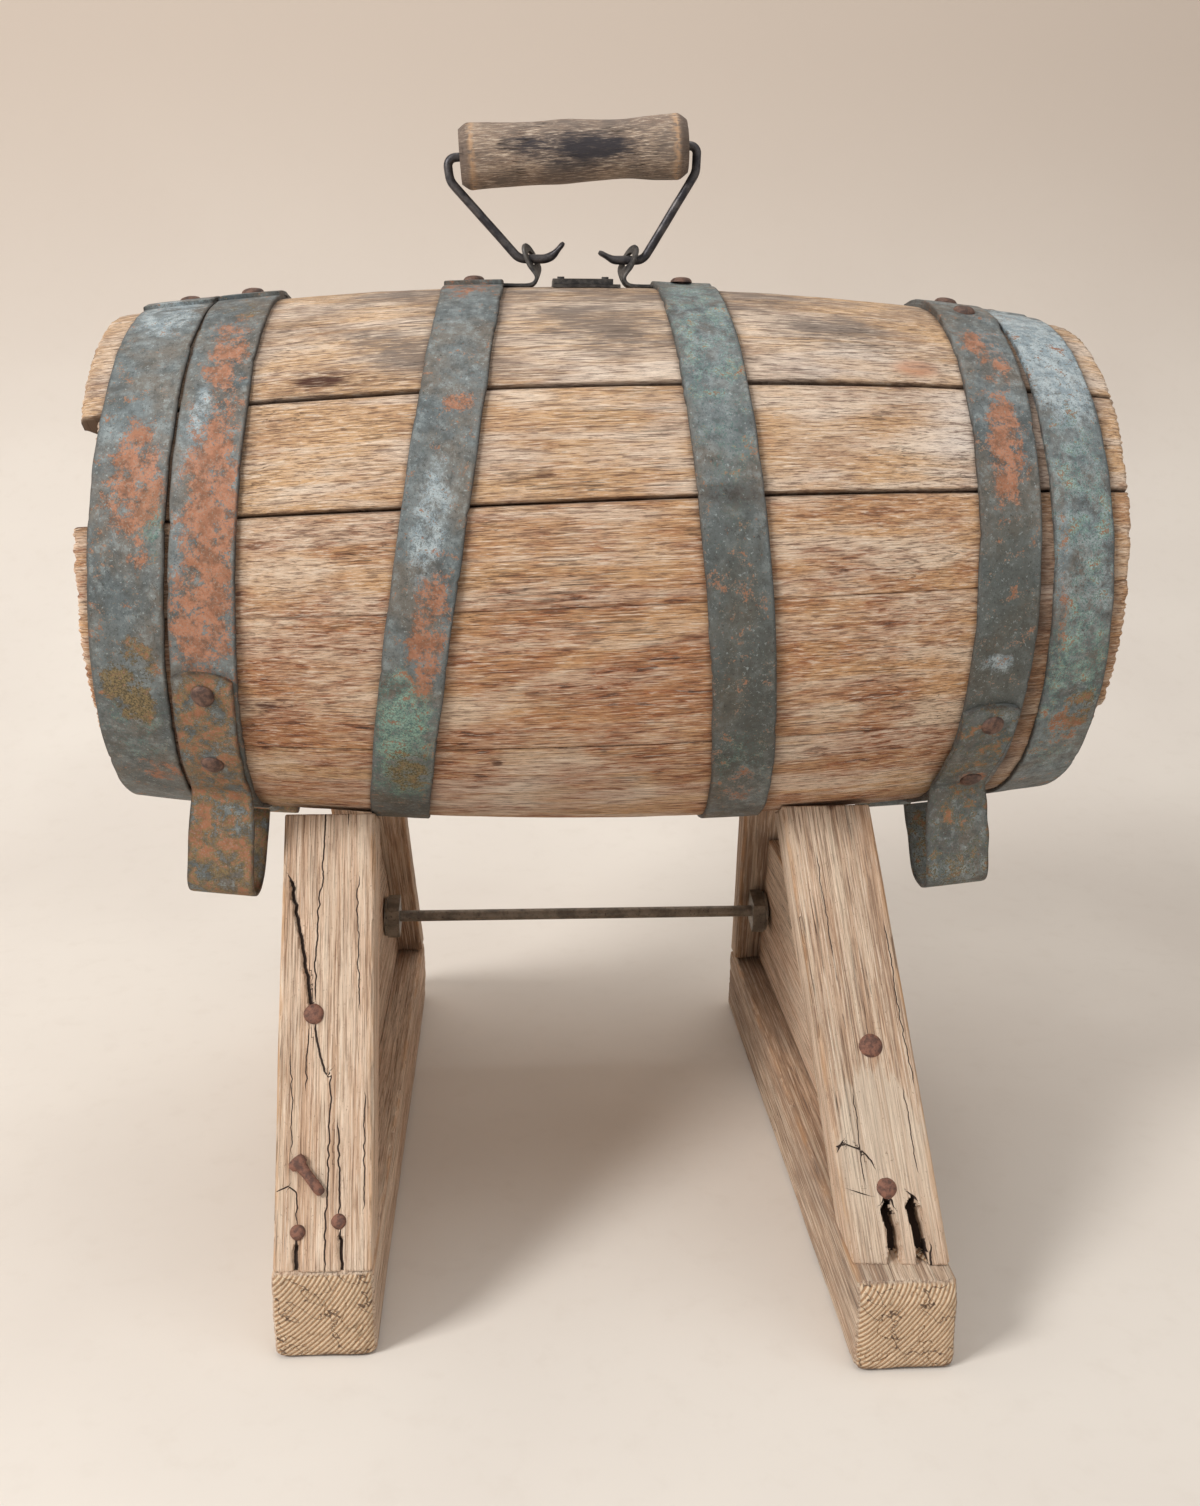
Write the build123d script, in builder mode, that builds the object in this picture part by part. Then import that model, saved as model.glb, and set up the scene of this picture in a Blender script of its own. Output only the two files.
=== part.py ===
"""Small oak keg on a two-frame trestle, with a carrying bail and strap feet.

Millimetres. X runs along the keg, Y away from the viewer, Z up from the floor.
Angles round the keg are measured upwards from the horizon on the viewer's side.
"""

from build123d import *
from math import acos, atan, cos, degrees, radians, sin, sqrt, tan
import os

os.makedirs("parts", exist_ok=True)

# Staves
axis_height = 315.0
bilge_radius = 125.0
chime_radius = 110.0
half_length = 218.0
stave_thickness = 12.0
seam_gap = 0.2
stave_skew = 2.4
chime_bevel = 4.0
seam_angles = [101.0, 41.5, 18.0, -1.5, -32.0, -70.0, -104.0, -137.0, -169.0, -199.0, -229.0]
# How far each stave stops short of the longest, at the left and at the right end.
left_shortfall = [3.8, 11.5, 3.2, 2.6, 4.5, 3.0, 5.5, 0.0, 2.5, 4.0, 1.5]
right_shortfall = [2.0, 1.5, 0.8, 0.4, 2.5, 3.5, 0.0, 3.0, 1.5, 2.5, 4.0]

# Heads and the tap hole's plug
head_inset = 26.0
head_thickness = 11.0
head_rim = 5.0
head_bevel = 9.0
croze_depth = 3.0
croze_clearance = 0.15
board_gap = 0.2
board_seams = [0.52, 0.03, -0.46]
tap_hole_radius = 9.0
tap_hole_drop = 62.0
plug_taper = 3.0
plug_clearance = 0.1
plug_stand_out = 9.0
plug_reach = 4.0
plug_bevel = 1.2

# Hoops: centre at axis height, width, shift in X per mm of height, middle of the
# riveted lap and the angles of its two rivets
hoop_thickness = 1.6
hoop_clearance = 0.05
lap_angle = 34.0
hoops = {
    "hoop_1": (-193.8, 31.0, 0.071, 96.0, (93.0, 106.0)),
    "hoop_2": (-163.2, 27.3, 0.063, 99.0, (88.0, 108.0)),
    "hoop_3": (-75.5, 27.0, 0.155, 100.0, (90.0, 110.0)),
    "hoop_4": (51.3, 27.5, -0.100, 103.0, (90.0, 114.0)),
    "hoop_5": (163.8, 27.0, -0.020, 81.0, (87.0, 73.0)),
    "hoop_6": (196.6, 27.0, -0.061, 104.0, (98.0, 114.0)),
}
rivet_radius = 5.0
rivet_height = 2.2
rivet_round = 1.5
shank_radius = 2.2
shank_clearance = 0.05

# Strap feet
foot_width = 27.0
foot_thickness = 2.4
fold_thickness = 2.0
foot_clearance = 0.1
foot_drop = 20.0
foot_taper = 9.0
foot_front = 74.0
foot_back = 44.0
foot_bend = 5.0
foot_tops = {"left": -15.0, "right": -23.5}
foot_rivet_steps = (5.2, 24.0)

# Bung under its nailed plate
bung_x = -7.0
bung_radius = 11.0
bung_clearance = 0.15
bung_taper = 3.0
bung_reach = 2.0
seat_x = -5.5
seat_size = 30.5
seat_thickness = 1.2
plate_size = 27.0
plate_thickness = 2.2
plate_clearance = 0.1
tack_radius = 1.6
tack_height = 0.8
tack_shank = 0.8
tack_inset = 3.5

# Bail: wire, grip and the two eyes let into the top stave
pivot_lift = 12.0
wire_radius = 2.0
eyes = {"left": -30.4, "right": 14.6}
eye_clearance = 0.8
eye_rim = 3.4
strap_width = 12.0
strap_thickness = 1.6
strap_bend = 4.0
strap_sink = 0.25
strap_lap = 9.0
pocket_clearance = 0.2
grip_length = 102.0
grip_x = -11.0
grip_rise = 46.0
grip_end_radius = 14.3
grip_waist_radius = 13.0
grip_round = 2.0
grip_tilt = 3.6
grip_clearance = 0.1
wire_overhang = {"left": 6.0, "right": 5.0}
shoulder_out = 4.6
shoulder_drop = {"left": 10.2, "right": 11.2}
wire_bends = (3.5, 5.0, 8.0, 3.6, 3.2, 8.0, 5.0, 3.5)
eye_run = 6.8
hook_length = 6.0
hook_rise = {"left": 5.0, "right": 3.2}

# Trestle timber
sill_length = 360.0
sill_width = 43.0
sill_height = 41.0
sill_round = 2.0
sill_stagger = 10.0
sill_spread = 121.0
leg_width = 42.0
leg_slope = 0.664
leg_thickness = {"front": 26.0, "rear": 16.0}
leg_setbacks = {
    ("left", "front"): 2.0,
    ("left", "rear"): 3.0,
    ("right", "front"): 15.0,
    ("right", "rear"): 3.0,
}
frame_lean = {"left": -1.2, "right": -5.6}
saddle_clearance = 0.3
web_thickness = 12.0
web_height = 105.0
web_clearance = 0.2

# Trestle ironwork
rod_radius = 3.25
rod_y = 98.0
rod_height = 93.0
rod_clearance = 0.2
nut_across = 18.0
nut_thickness = 7.0
nut_turn = 12.0
washer_radius = 11.5
washer_thickness = 1.4
rod_end = 4.0
nail_shank = 1.8
nail_length = 14.0
nail_head = 1.6
# Sideways from the leg's middle, height above the sill, head radius
nails = {
    ("left", "front"): ((-5.5, 89.0, 4.4), (-10.5, 13.5, 3.2), (6.5, 16.5, 3.2), (-9.5, 34.0, 3.4)),
    ("right", "front"): ((2.5, 76.0, 5.2), (-1.0, 26.0, 4.4)),
    ("left", "rear"): ((4.0, 84.0, 4.4), (-8.0, 20.0, 3.4)),
    ("right", "rear"): ((-3.0, 88.0, 4.4), (7.0, 18.0, 3.6)),
}

SIDES = {"left": -1, "right": 1}
ENDS = {"front": -1, "rear": 1}
foot_hoops = {"left": "hoop_2", "right": "hoop_5"}
eye_hoops = {"left": "hoop_3", "right": "hoop_4"}
saddle_hoops = {"left": hoop_thickness, "right": 0.0}
keg_axis = Axis((0, 0, axis_height), (1, 0, 0))

hoop_lift = hoop_clearance + hoop_thickness
lap_lift = hoop_lift + hoop_thickness
foot_lift = hoop_lift + foot_clearance + foot_thickness
seat_lift = plate_clearance + seat_thickness
plate_lift = seat_lift + plate_clearance + plate_thickness


def keg_radius(x, lift=0.0):
    """Radius of the keg's skin at x, or of the surface that runs `lift` outside it."""
    sagitta = bilge_radius - chime_radius
    bend = (half_length**2 + sagitta**2) / (2 * sagitta)
    return bilge_radius - bend + sqrt((bend + lift) ** 2 - x**2)


def keg_slope(x):
    """Growth of the keg's radius per mm along X."""
    return keg_radius(x + 0.5) - keg_radius(x - 0.5)


def radial(angle):
    """Direction away from the keg's axis."""
    return Vector(0, -cos(radians(angle)), sin(radians(angle)))


def around(angle):
    """Direction round the keg, the way the angle grows."""
    return Vector(0, sin(radians(angle)), cos(radians(angle)))


def keg_plane(angle):
    """Plane through the keg's axis: local X along the keg, local Y outwards."""
    return Plane(origin=(0, 0, axis_height), x_dir=(1, 0, 0), z_dir=around(angle) * -1)


def seam_plane(angle, shift):
    """Plane of a seam, skewed along the keg and moved round it, facing growing angles."""
    facing = around(angle) * cos(radians(stave_skew)) - Vector(sin(radians(stave_skew)), 0, 0)
    origin = Vector(0, 0, axis_height) + facing * shift
    return Plane(origin=origin, x_dir=radial(angle), z_dir=facing)


def skin_plane(x, angle, lift=0.0):
    """Plane that touches the keg's skin at x and angle, or lies `lift` off it."""
    lean = atan(keg_slope(x))
    facing = radial(angle) * cos(lean) - Vector(sin(lean), 0, 0)
    origin = Vector(x, 0, axis_height) + radial(angle) * keg_radius(x) + facing * lift
    return Plane(origin=origin, x_dir=around(angle), z_dir=facing)


def skin_strip(angle, left, right, bottom, top):
    """Section of a strip along the keg's bulge, between two lifts off the skin."""
    with BuildSketch(keg_plane(angle)) as strip:
        with BuildLine():
            for lift in (bottom, top):
                ThreePointArc(
                    (left, keg_radius(left, lift)),
                    ((left + right) / 2, keg_radius((left + right) / 2, lift)),
                    (right, keg_radius(right, lift)),
                )
            for end in (left, right):
                Line((end, keg_radius(end, bottom)), (end, keg_radius(end, top)))
        make_face()
    return strip.sketch


def hoop_strip(name, angle, bottom, top):
    """Section wide enough to cut a tilted band from, at any angle round the keg."""
    centre, width, slope, _, _ = hoops[name]
    reach = width / 2 + abs(slope) * bilge_radius + 1
    return skin_strip(angle, centre - reach, centre + reach, bottom, top)


def hoop_edge(name, side, width):
    """Plane of one edge of a band of this width along a hoop's middle, facing +X."""
    centre, _, slope, _, _ = hoops[name]
    origin = (centre + side * width / 2, 0, axis_height)
    return Plane(origin=origin, x_dir=(0, 1, 0), z_dir=(1, 0, -slope))


def hoop_x(name, angle):
    """X of a hoop's middle at an angle round the keg."""
    centre, _, slope, _, _ = hoops[name]
    return centre + slope * keg_radius(centre) * sin(radians(angle))


def save(part, name):
    part.part.label = name
    export_step(part.part, f"parts/{name}.step")


# Derived places that several pieces share
pivot_height = axis_height + bilge_radius + pivot_lift
grip_height = pivot_height + grip_rise
head_x = half_length - head_inset
head_radius = keg_radius(head_x, -stave_thickness) + croze_depth
bung_base = bilge_radius - stave_thickness - bung_reach
bung_slope = tan(radians(bung_taper))
bung_base_radius = bung_radius - (stave_thickness + bung_reach) * bung_slope
plug_slope = tan(radians(plug_taper))
eye_hole = wire_radius + eye_clearance
tongue_xs = {side: hoop_x(name, 90) for side, name in eye_hoops.items()}
tongue_starts = {side: tongue_xs[side] + SIDES[side] * strap_lap for side in SIDES}

# Rivets: hoop, angle, lift of the head's seat and depth of the shank under it
lap_rivets = []
for name, (_, _, _, _, angles) in hoops.items():
    for angle in angles:
        depth = hoop_thickness * 2
        if name in eye_hoops.values() and angle == angles[0]:
            depth += hoop_clearance + strap_sink + strap_thickness
        lap_rivets.append((name, angle, lap_lift, depth))
foot_rivets = []
for side, name in foot_hoops.items():
    for step in foot_rivet_steps:
        for angle in (foot_tops[side] - step, 180 - foot_tops[side] + step):
            foot_rivets.append((name, angle, foot_lift, foot_lift - hoop_clearance))


def shank_planes(rivets, only=None):
    """Planes of the rivets' seats, all of them or those of one hoop."""
    return [
        skin_plane(hoop_x(name, angle), angle, lift)
        for name, angle, lift, _ in rivets
        if only in (None, name)
    ]


# Staves: turned along the bulge, parted at skewed seams, grooved for the heads.
for index, upper in enumerate(seam_angles):
    lower = seam_angles[(index + 1) % len(seam_angles)]
    if lower > upper:
        lower -= 360
    spare = 8.0
    ends = {-1: left_shortfall[index] - half_length, 1: half_length - right_shortfall[index]}
    with BuildPart() as stave:
        revolve(
            skin_strip(upper + spare, ends[-1], ends[1], -stave_thickness, 0),
            axis=keg_axis,
            revolution_arc=upper - lower + 2 * spare,
        )
        split(bisect_by=seam_plane(upper, -seam_gap / 2), keep=Keep.BOTTOM)
        split(bisect_by=seam_plane(lower, seam_gap / 2), keep=Keep.TOP)
        for end, chime_x in ends.items():
            bevel_radius = keg_radius(chime_x, -stave_thickness) + chime_bevel
            with BuildSketch(keg_plane(0)) as groove:
                with Locations((end * head_x, 0)):
                    Rectangle(
                        head_rim + 2 * croze_clearance,
                        head_radius + croze_clearance,
                        align=(Align.CENTER, Align.MIN),
                    )
            revolve(groove.sketch, axis=keg_axis, mode=Mode.SUBTRACT)
            with BuildSketch(keg_plane(0)) as bevel:
                with BuildLine():
                    Polyline(
                        (chime_x + end, 0),
                        (chime_x + end, bevel_radius + 1),
                        (chime_x - end * 2 * chime_bevel, bevel_radius - 2 * chime_bevel),
                        (chime_x - end * 2 * chime_bevel, 0),
                        close=True,
                    )
                make_face()
            revolve(bevel.sketch, axis=keg_axis, mode=Mode.SUBTRACT)
        if index == 0:
            with Locations(Location((bung_x, 0, axis_height + bung_base), (0, 0, 90))):
                Cone(
                    bung_base_radius + bung_clearance,
                    bung_base_radius + bung_clearance + 2 * stave_thickness * bung_slope,
                    2 * stave_thickness,
                    align=(Align.CENTER, Align.CENTER, Align.MIN),
                    mode=Mode.SUBTRACT,
                )
            for side, end in SIDES.items():
                pocket = skin_plane(tongue_xs[side], 90, -strap_sink - strap_thickness)
                outer_x = tongue_starts[side] + end * pocket_clearance
                inner_x = eyes[side] - end * strap_bend
                with BuildSketch(pocket.offset(-pocket_clearance)):
                    with Locations((0, pocket.origin.X - (outer_x + inner_x) / 2)):
                        Rectangle(strap_width + 2 * pocket_clearance, abs(outer_x - inner_x))
                extrude(amount=stave_thickness, mode=Mode.SUBTRACT)
    save(stave, f"stave_{index + 1:02d}")

# Heads: turned to a thinner rim that enters the croze, sawn into boards side by side.
board_edges = [1.1, *board_seams, -1.1]
for side, end in SIDES.items():
    with BuildSketch(keg_plane(0)) as half_section:
        with BuildLine():
            rim_radius = head_radius - croze_clearance
            Polyline(
                (end * head_x - head_thickness / 2, 0),
                (end * head_x - head_thickness / 2, rim_radius - croze_depth - head_bevel),
                (end * head_x - head_rim / 2, rim_radius - croze_depth),
                (end * head_x - head_rim / 2, rim_radius),
                (end * head_x + head_rim / 2, rim_radius),
                (end * head_x + head_rim / 2, rim_radius - croze_depth),
                (end * head_x + head_thickness / 2, rim_radius - croze_depth - head_bevel),
                (end * head_x + head_thickness / 2, 0),
                close=True,
            )
        make_face()
    for board in range(len(board_edges) - 1):
        top = axis_height + head_radius * board_edges[board] - board_gap / 2
        bottom = axis_height + head_radius * board_edges[board + 1] + board_gap / 2
        with BuildPart() as head_board:
            revolve(half_section.sketch, axis=keg_axis)
            split(bisect_by=Plane.XY.offset(top), keep=Keep.BOTTOM)
            split(bisect_by=Plane.XY.offset(bottom), keep=Keep.TOP)
            if side == "right" and board == len(board_edges) - 2:
                with Locations(Location((head_x, 0, axis_height - tap_hole_drop), (0, 90, 0))):
                    Cone(
                        tap_hole_radius - head_thickness * plug_slope,
                        tap_hole_radius,
                        head_thickness,
                        mode=Mode.SUBTRACT,
                    )
        save(head_board, f"{side}_head_board_{board + 1}")

with BuildPart() as tap_plug:
    plug_start = head_x - head_thickness / 2 - plug_reach
    with Locations(Location((plug_start, 0, axis_height - tap_hole_drop), (0, 90, 0))):
        Cone(
            tap_hole_radius - plug_clearance - (head_thickness + plug_reach) * plug_slope,
            tap_hole_radius - plug_clearance + plug_stand_out * plug_slope,
            head_thickness + plug_reach + plug_stand_out,
            align=(Align.CENTER, Align.CENTER, Align.MIN),
        )
    chamfer(tap_plug.faces().sort_by(Axis.X)[-1].edges(), length=plug_bevel)
save(tap_plug, "tap_plug")

# Hoops: a strip of the bulge, trimmed between two tilted planes, with a riveted lap.
for name, (centre, width, slope, lap, _) in hoops.items():
    holes = shank_planes(lap_rivets, name) + shank_planes(foot_rivets, name)
    with BuildPart() as hoop:
        revolve(hoop_strip(name, 0, hoop_clearance, hoop_lift), axis=keg_axis)
        revolve(
            hoop_strip(name, lap + lap_angle / 2, hoop_lift - hoop_thickness / 2, lap_lift),
            axis=keg_axis,
            revolution_arc=lap_angle,
        )
        split(bisect_by=hoop_edge(name, -1, width), keep=Keep.TOP)
        split(bisect_by=hoop_edge(name, 1, width), keep=Keep.BOTTOM)
        with Locations(*holes):
            Cylinder(shank_radius + shank_clearance, 6 * hoop_thickness, mode=Mode.SUBTRACT)
    save(hoop, name)

for group, rivets in {"hoop_rivets": lap_rivets, "foot_rivets": foot_rivets}.items():
    with BuildPart() as rivet_group:
        for name, angle, lift, depth in rivets:
            with BuildPart(mode=Mode.PRIVATE) as rivet:
                Cylinder(
                    rivet_radius, rivet_height, align=(Align.CENTER, Align.CENTER, Align.MIN)
                )
                fillet(rivet.faces().sort_by(Axis.Z)[-1].edges(), radius=rivet_round)
                Cylinder(shank_radius, depth, align=(Align.CENTER, Align.CENTER, Align.MAX))
            seat = skin_plane(hoop_x(name, angle), angle, lift)
            add(rivet.part.moved(Location(seat)))
    save(rivet_group, group)

# Strap feet: riveted down the hoop, then folded into a loop below the keg.
for side, name in foot_hoops.items():
    fold_lift = foot_lift - foot_thickness / 2
    leave = -degrees(acos(foot_front / keg_radius(hoop_x(name, -52), fold_lift)))
    fold_x = hoop_x(name, leave)
    lie = Vector(1, 0, 0) + radial(leave) * keg_slope(fold_x)
    underside = keg_radius(fold_x, hoop_lift + foot_clearance)
    return_top = -sqrt(underside**2 - (foot_back - fold_thickness / 2) ** 2)
    inside = radial(leave + 3) * keg_radius(fold_x, fold_lift)
    corner = radial(leave) * keg_radius(fold_x, fold_lift)
    fold_plane = Plane(
        origin=Vector(fold_x, corner.Y, axis_height + corner.Z) - lie * (foot_width / 2),
        x_dir=(0, 1, 0),
        z_dir=lie,
    )
    fold_depth = foot_front - foot_back - foot_taper
    fold_radius = fold_depth / 2
    fold_fall = bilge_radius + foot_drop + corner.Z - fold_thickness / 2
    with BuildPart() as foot:
        revolve(
            hoop_strip(name, foot_tops[side], hoop_lift + foot_clearance, foot_lift),
            axis=keg_axis,
            revolution_arc=foot_tops[side] - leave,
        )
        split(bisect_by=hoop_edge(name, -1, foot_width), keep=Keep.TOP)
        split(bisect_by=hoop_edge(name, 1, foot_width), keep=Keep.BOTTOM)
        with BuildSketch(fold_plane) as fold:
            with BuildLine():
                FilletPolyline(
                    (inside.Y - corner.Y, inside.Z - corner.Z),
                    (0, 0),
                    (0, -fold_fall),
                    (fold_depth, -fold_fall),
                    (fold_depth + foot_taper, return_top - corner.Z),
                    radius=(foot_bend, fold_radius * 0.98, fold_radius * 0.98),
                )
            trace(line_width=fold_thickness)
        extrude(amount=foot_width * lie.length, dir=lie)
        with Locations(*shank_planes(foot_rivets, name)):
            Cylinder(shank_radius + shank_clearance, 6 * foot_thickness, mode=Mode.SUBTRACT)
    save(foot, f"front_{side}_foot")
    with BuildPart() as rear_foot:
        add(mirror(foot.part, about=Plane.XZ, mode=Mode.PRIVATE))
    save(rear_foot, f"rear_{side}_foot")

# Bung, and the two layers of plate nailed over it
with BuildPart() as bung:
    bung_height = keg_radius(bung_x) - bung_radius**2 / bilge_radius - bung_base
    with Locations((bung_x, 0, axis_height + bung_base)):
        Cone(
            bung_base_radius,
            bung_base_radius + bung_height * bung_slope,
            bung_height,
            align=(Align.CENTER, Align.CENTER, Align.MIN),
        )
save(bung, "bung")

plates = {
    "bung_plate_seat": (seat_x, seat_size, plate_clearance, seat_lift),
    "bung_plate": (bung_x, plate_size, seat_lift + plate_clearance, plate_lift),
}
tack_reach = (plate_size / 2 - tack_inset) * Vector(1, 1)
tack_angle = degrees((plate_size / 2 - tack_inset) / bilge_radius)
tack_seats = [
    skin_plane(bung_x + end * (plate_size / 2 - tack_inset), 90 + turn * tack_angle, plate_lift)
    for end in (-1, 1)
    for turn in (-1, 1)
]
for name, (x, size, bottom, top) in plates.items():
    half_angle = degrees(size / 2 / bilge_radius)
    with BuildPart() as plate:
        revolve(
            skin_strip(90 + half_angle, x - size / 2, x + size / 2, bottom, top),
            axis=keg_axis,
            revolution_arc=2 * half_angle,
        )
        with Locations(*tack_seats):
            Cylinder(tack_shank + shank_clearance, 4 * plate_lift, mode=Mode.SUBTRACT)
    save(plate, name)

with BuildPart() as plate_tacks:
    for seat in tack_seats:
        with BuildPart(mode=Mode.PRIVATE) as tack:
            Cylinder(tack_radius, tack_height, align=(Align.CENTER, Align.CENTER, Align.MIN))
            Cylinder(
                tack_shank, plate_lift - plate_clearance,
                align=(Align.CENTER, Align.CENTER, Align.MAX),
            )
        add(tack.part.moved(Location(seat)))
save(plate_tacks, "plate_tacks")

# Eyes: a strap let into the top stave under its hoop, turned up and pierced.
for side, end in SIDES.items():
    mid_lift = -strap_sink - strap_thickness / 2
    with BuildPart() as eye:
        with BuildSketch(keg_plane(90)):
            with BuildLine():
                FilletPolyline(
                    (tongue_starts[side], keg_radius(tongue_starts[side]) + mid_lift),
                    (eyes[side], keg_radius(eyes[side]) + mid_lift),
                    (eyes[side], pivot_height - axis_height + eye_hole + eye_rim),
                    radius=strap_bend,
                )
            trace(line_width=strap_thickness)
        extrude(amount=strap_width / 2, both=True)
        fillet(
            eye.edges().filter_by(Axis.X).group_by(Axis.Z)[-1],
            radius=strap_width / 2 - 0.1,
        )
        with Locations((eyes[side], 0, pivot_height)):
            Cylinder(eye_hole, strap_bend, rotation=(0, 90, 0), mode=Mode.SUBTRACT)
        with Locations(skin_plane(tongue_xs[side], 90)):
            Cylinder(shank_radius + shank_clearance, 8, mode=Mode.SUBTRACT)
    save(eye, f"{side}_eye_strap")

# Bail: one wire through the grip, down to both eyes, ending in open hooks.
grip_plane = Plane(
    origin=(grip_x, 0, grip_height),
    x_dir=(cos(radians(grip_tilt)), 0, sin(radians(grip_tilt))),
    z_dir=(0, -1, 0),
)
grip_corners = {
    side: grip_plane.from_local_coords((end * grip_length / 2, 0, 0)) for side, end in SIDES.items()
}
grip_ends = {
    side: grip_plane.from_local_coords((end * (grip_length / 2 + wire_overhang[side]), 0, 0))
    for side, end in SIDES.items()
}
route = []
for side, end in (("left", -1), ("right", 1)):
    half = [
        (eyes[side] - end * (eye_run + hook_length), pivot_height + hook_rise[side]),
        (eyes[side] - end * eye_run, pivot_height),
        (eyes[side] + end * eye_run, pivot_height),
        (grip_corners[side].X + end * shoulder_out, grip_corners[side].Z - shoulder_drop[side]),
        (grip_ends[side].X, grip_ends[side].Z),
    ]
    route += half if side == "left" else half[::-1]
with BuildPart() as bail:
    with BuildLine(Plane.XZ) as wire:
        FilletPolyline(*route, radius=wire_bends)
    start = wire.line @ 0
    with BuildSketch(Plane(origin=start, z_dir=wire.line % 0)):
        Circle(wire_radius)
    sweep()
save(bail, "bail_wire")

with BuildPart() as grip:
    with BuildSketch(grip_plane) as section:
        with BuildLine():
            bore = wire_radius + grip_clearance
            half = grip_length / 2
            ThreePointArc((-half, grip_end_radius), (0, grip_waist_radius), (half, grip_end_radius))
            Line((-half, grip_end_radius), (-half, bore))
            Line((-half, bore), (half, bore))
            Line((half, bore), (half, grip_end_radius))
        make_face()
        fillet(section.vertices().group_by(Axis.Y)[-1], radius=grip_round)
    revolve(axis=Axis(grip_plane.origin, grip_plane.x_dir))
save(grip, "grip")


# Trestle: on each side a sill, two legs that lean together and a web between them.
def frame_plane(side):
    """Plane of one frame: local X is Y, local Y rises with the frame's lean."""
    lean = radians(frame_lean[side])
    return Plane(
        origin=(SIDES[side] * sill_spread, 0, sill_height),
        x_dir=(0, 1, 0),
        z_dir=(cos(lean), 0, -sin(lean)),
    )


def sill_end(side, end):
    """Y of one end of a sill; the two sills are staggered."""
    return ENDS[end] * sill_length / 2 - SIDES[side] * sill_stagger


def leg_face(side, end, height, depth=0.0):
    """Local X of a leg's outer face at a height, or of the plane `depth` inside it."""
    along = depth * sqrt(1 + leg_slope**2) + leg_setbacks[side, end] + leg_slope * height
    return sill_end(side, end) - ENDS[end] * along


def nail_planes(side, end):
    """Planes on a leg's outer face where its nails enter."""
    frame = frame_plane(side)
    facing = (frame.x_dir * ENDS[end] + frame.y_dir * leg_slope).normalized()
    planes = []
    for across, height, _ in nails[side, end]:
        origin = frame.from_local_coords((leg_face(side, end, height), height, across))
        planes.append(Plane(origin=origin, x_dir=frame.z_dir, z_dir=facing))
    return planes


leg_reach = 200.0
for side, where in SIDES.items():
    frame = frame_plane(side)
    inner_x = sill_spread + where * leg_reach * sin(radians(frame_lean[side])) * 0.8
    saddle = keg_radius(inner_x - leg_width / 2, saddle_hoops[side] + saddle_clearance)
    with BuildPart() as sill:
        with BuildSketch(Plane.XY):
            with Locations((where * sill_spread, -where * sill_stagger)):
                Rectangle(sill_width, sill_length)
        extrude(amount=sill_height)
        fillet(sill.edges().filter_by(Axis.Z), radius=sill_round)
    save(sill, f"{side}_sill")

    for end in ENDS:
        thickness = leg_thickness[end]
        with BuildPart() as leg:
            with BuildSketch(frame):
                with BuildLine():
                    Polyline(
                        (leg_face(side, end, -leg_width), -leg_width),
                        (leg_face(side, end, leg_reach), leg_reach),
                        (leg_face(side, end, leg_reach, thickness), leg_reach),
                        (leg_face(side, end, -leg_width, thickness), -leg_width),
                        close=True,
                    )
                make_face()
            extrude(amount=leg_width / 2, both=True)
            split(bisect_by=Plane.XY.offset(sill_height), keep=Keep.TOP)
            with Locations((where * sill_spread, 0, axis_height)):
                Cylinder(saddle, 4 * leg_width, rotation=(0, 90, 0), mode=Mode.SUBTRACT)
            with Locations(*nail_planes(side, end)):
                Cylinder(nail_shank + shank_clearance, 2 * nail_length, mode=Mode.SUBTRACT)
        save(leg, f"{side}_{end}_leg")

        with BuildPart() as leg_nails:
            for plane, (_, _, head) in zip(nail_planes(side, end), nails[side, end]):
                with BuildPart(mode=Mode.PRIVATE) as nail:
                    Cylinder(head, nail_head, align=(Align.CENTER, Align.CENTER, Align.MIN))
                    fillet(nail.faces().sort_by(Axis.Z)[-1].edges(), radius=nail_head / 2)
                    Cylinder(
                        nail_shank, nail_length, align=(Align.CENTER, Align.CENTER, Align.MAX)
                    )
                add(nail.part.moved(Location(plane)))
        save(leg_nails, f"{side}_{end}_nails")

    with BuildPart() as web:
        with BuildSketch(frame):
            with BuildLine():
                Polyline(
                    *[
                        (
                            leg_face(side, end, height, leg_thickness[end])
                            - ENDS[end] * web_clearance,
                            height,
                        )
                        for end, height in (
                            ("front", -web_thickness),
                            ("front", web_height),
                            ("rear", web_height),
                            ("rear", -web_thickness),
                        )
                    ],
                    close=True,
                )
            make_face()
        extrude(amount=web_thickness / 2, both=True)
        split(bisect_by=Plane.XY.offset(sill_height), keep=Keep.TOP)
        with Locations((where * sill_spread, rod_y, rod_height)):
            Cylinder(
                rod_radius + rod_clearance, 4 * web_thickness, rotation=(0, 90, 0),
                mode=Mode.SUBTRACT,
            )
    save(web, f"{side}_web")


# Tie rod through both webs, with a washer and a square nut on each face.
def web_face(side, outward):
    """X where a washer may stand square to the rod, off the leaning web's face."""
    lean = radians(frame_lean[side])
    middle = SIDES[side] * sill_spread + (rod_height - sill_height) * tan(lean)
    stand_off = web_thickness / 2 / cos(lean) + washer_radius * abs(tan(lean))
    return middle + outward * (stand_off + shank_clearance)


faces = [(web_face(side, outward), outward) for side in SIDES for outward in (-1, 1)]
rod_start = min(x for x, _ in faces) - washer_thickness - nut_thickness - rod_end
rod_stop = max(x for x, _ in faces) + washer_thickness + nut_thickness + rod_end
with BuildPart() as tie_rod:
    with BuildSketch(Plane.YZ.offset(rod_start)):
        with Locations((rod_y, rod_height)):
            Circle(rod_radius)
    extrude(amount=rod_stop - rod_start)
    chamfer(tie_rod.edges().filter_by(GeomType.CIRCLE), length=0.8)
save(tie_rod, "tie_rod")

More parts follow.
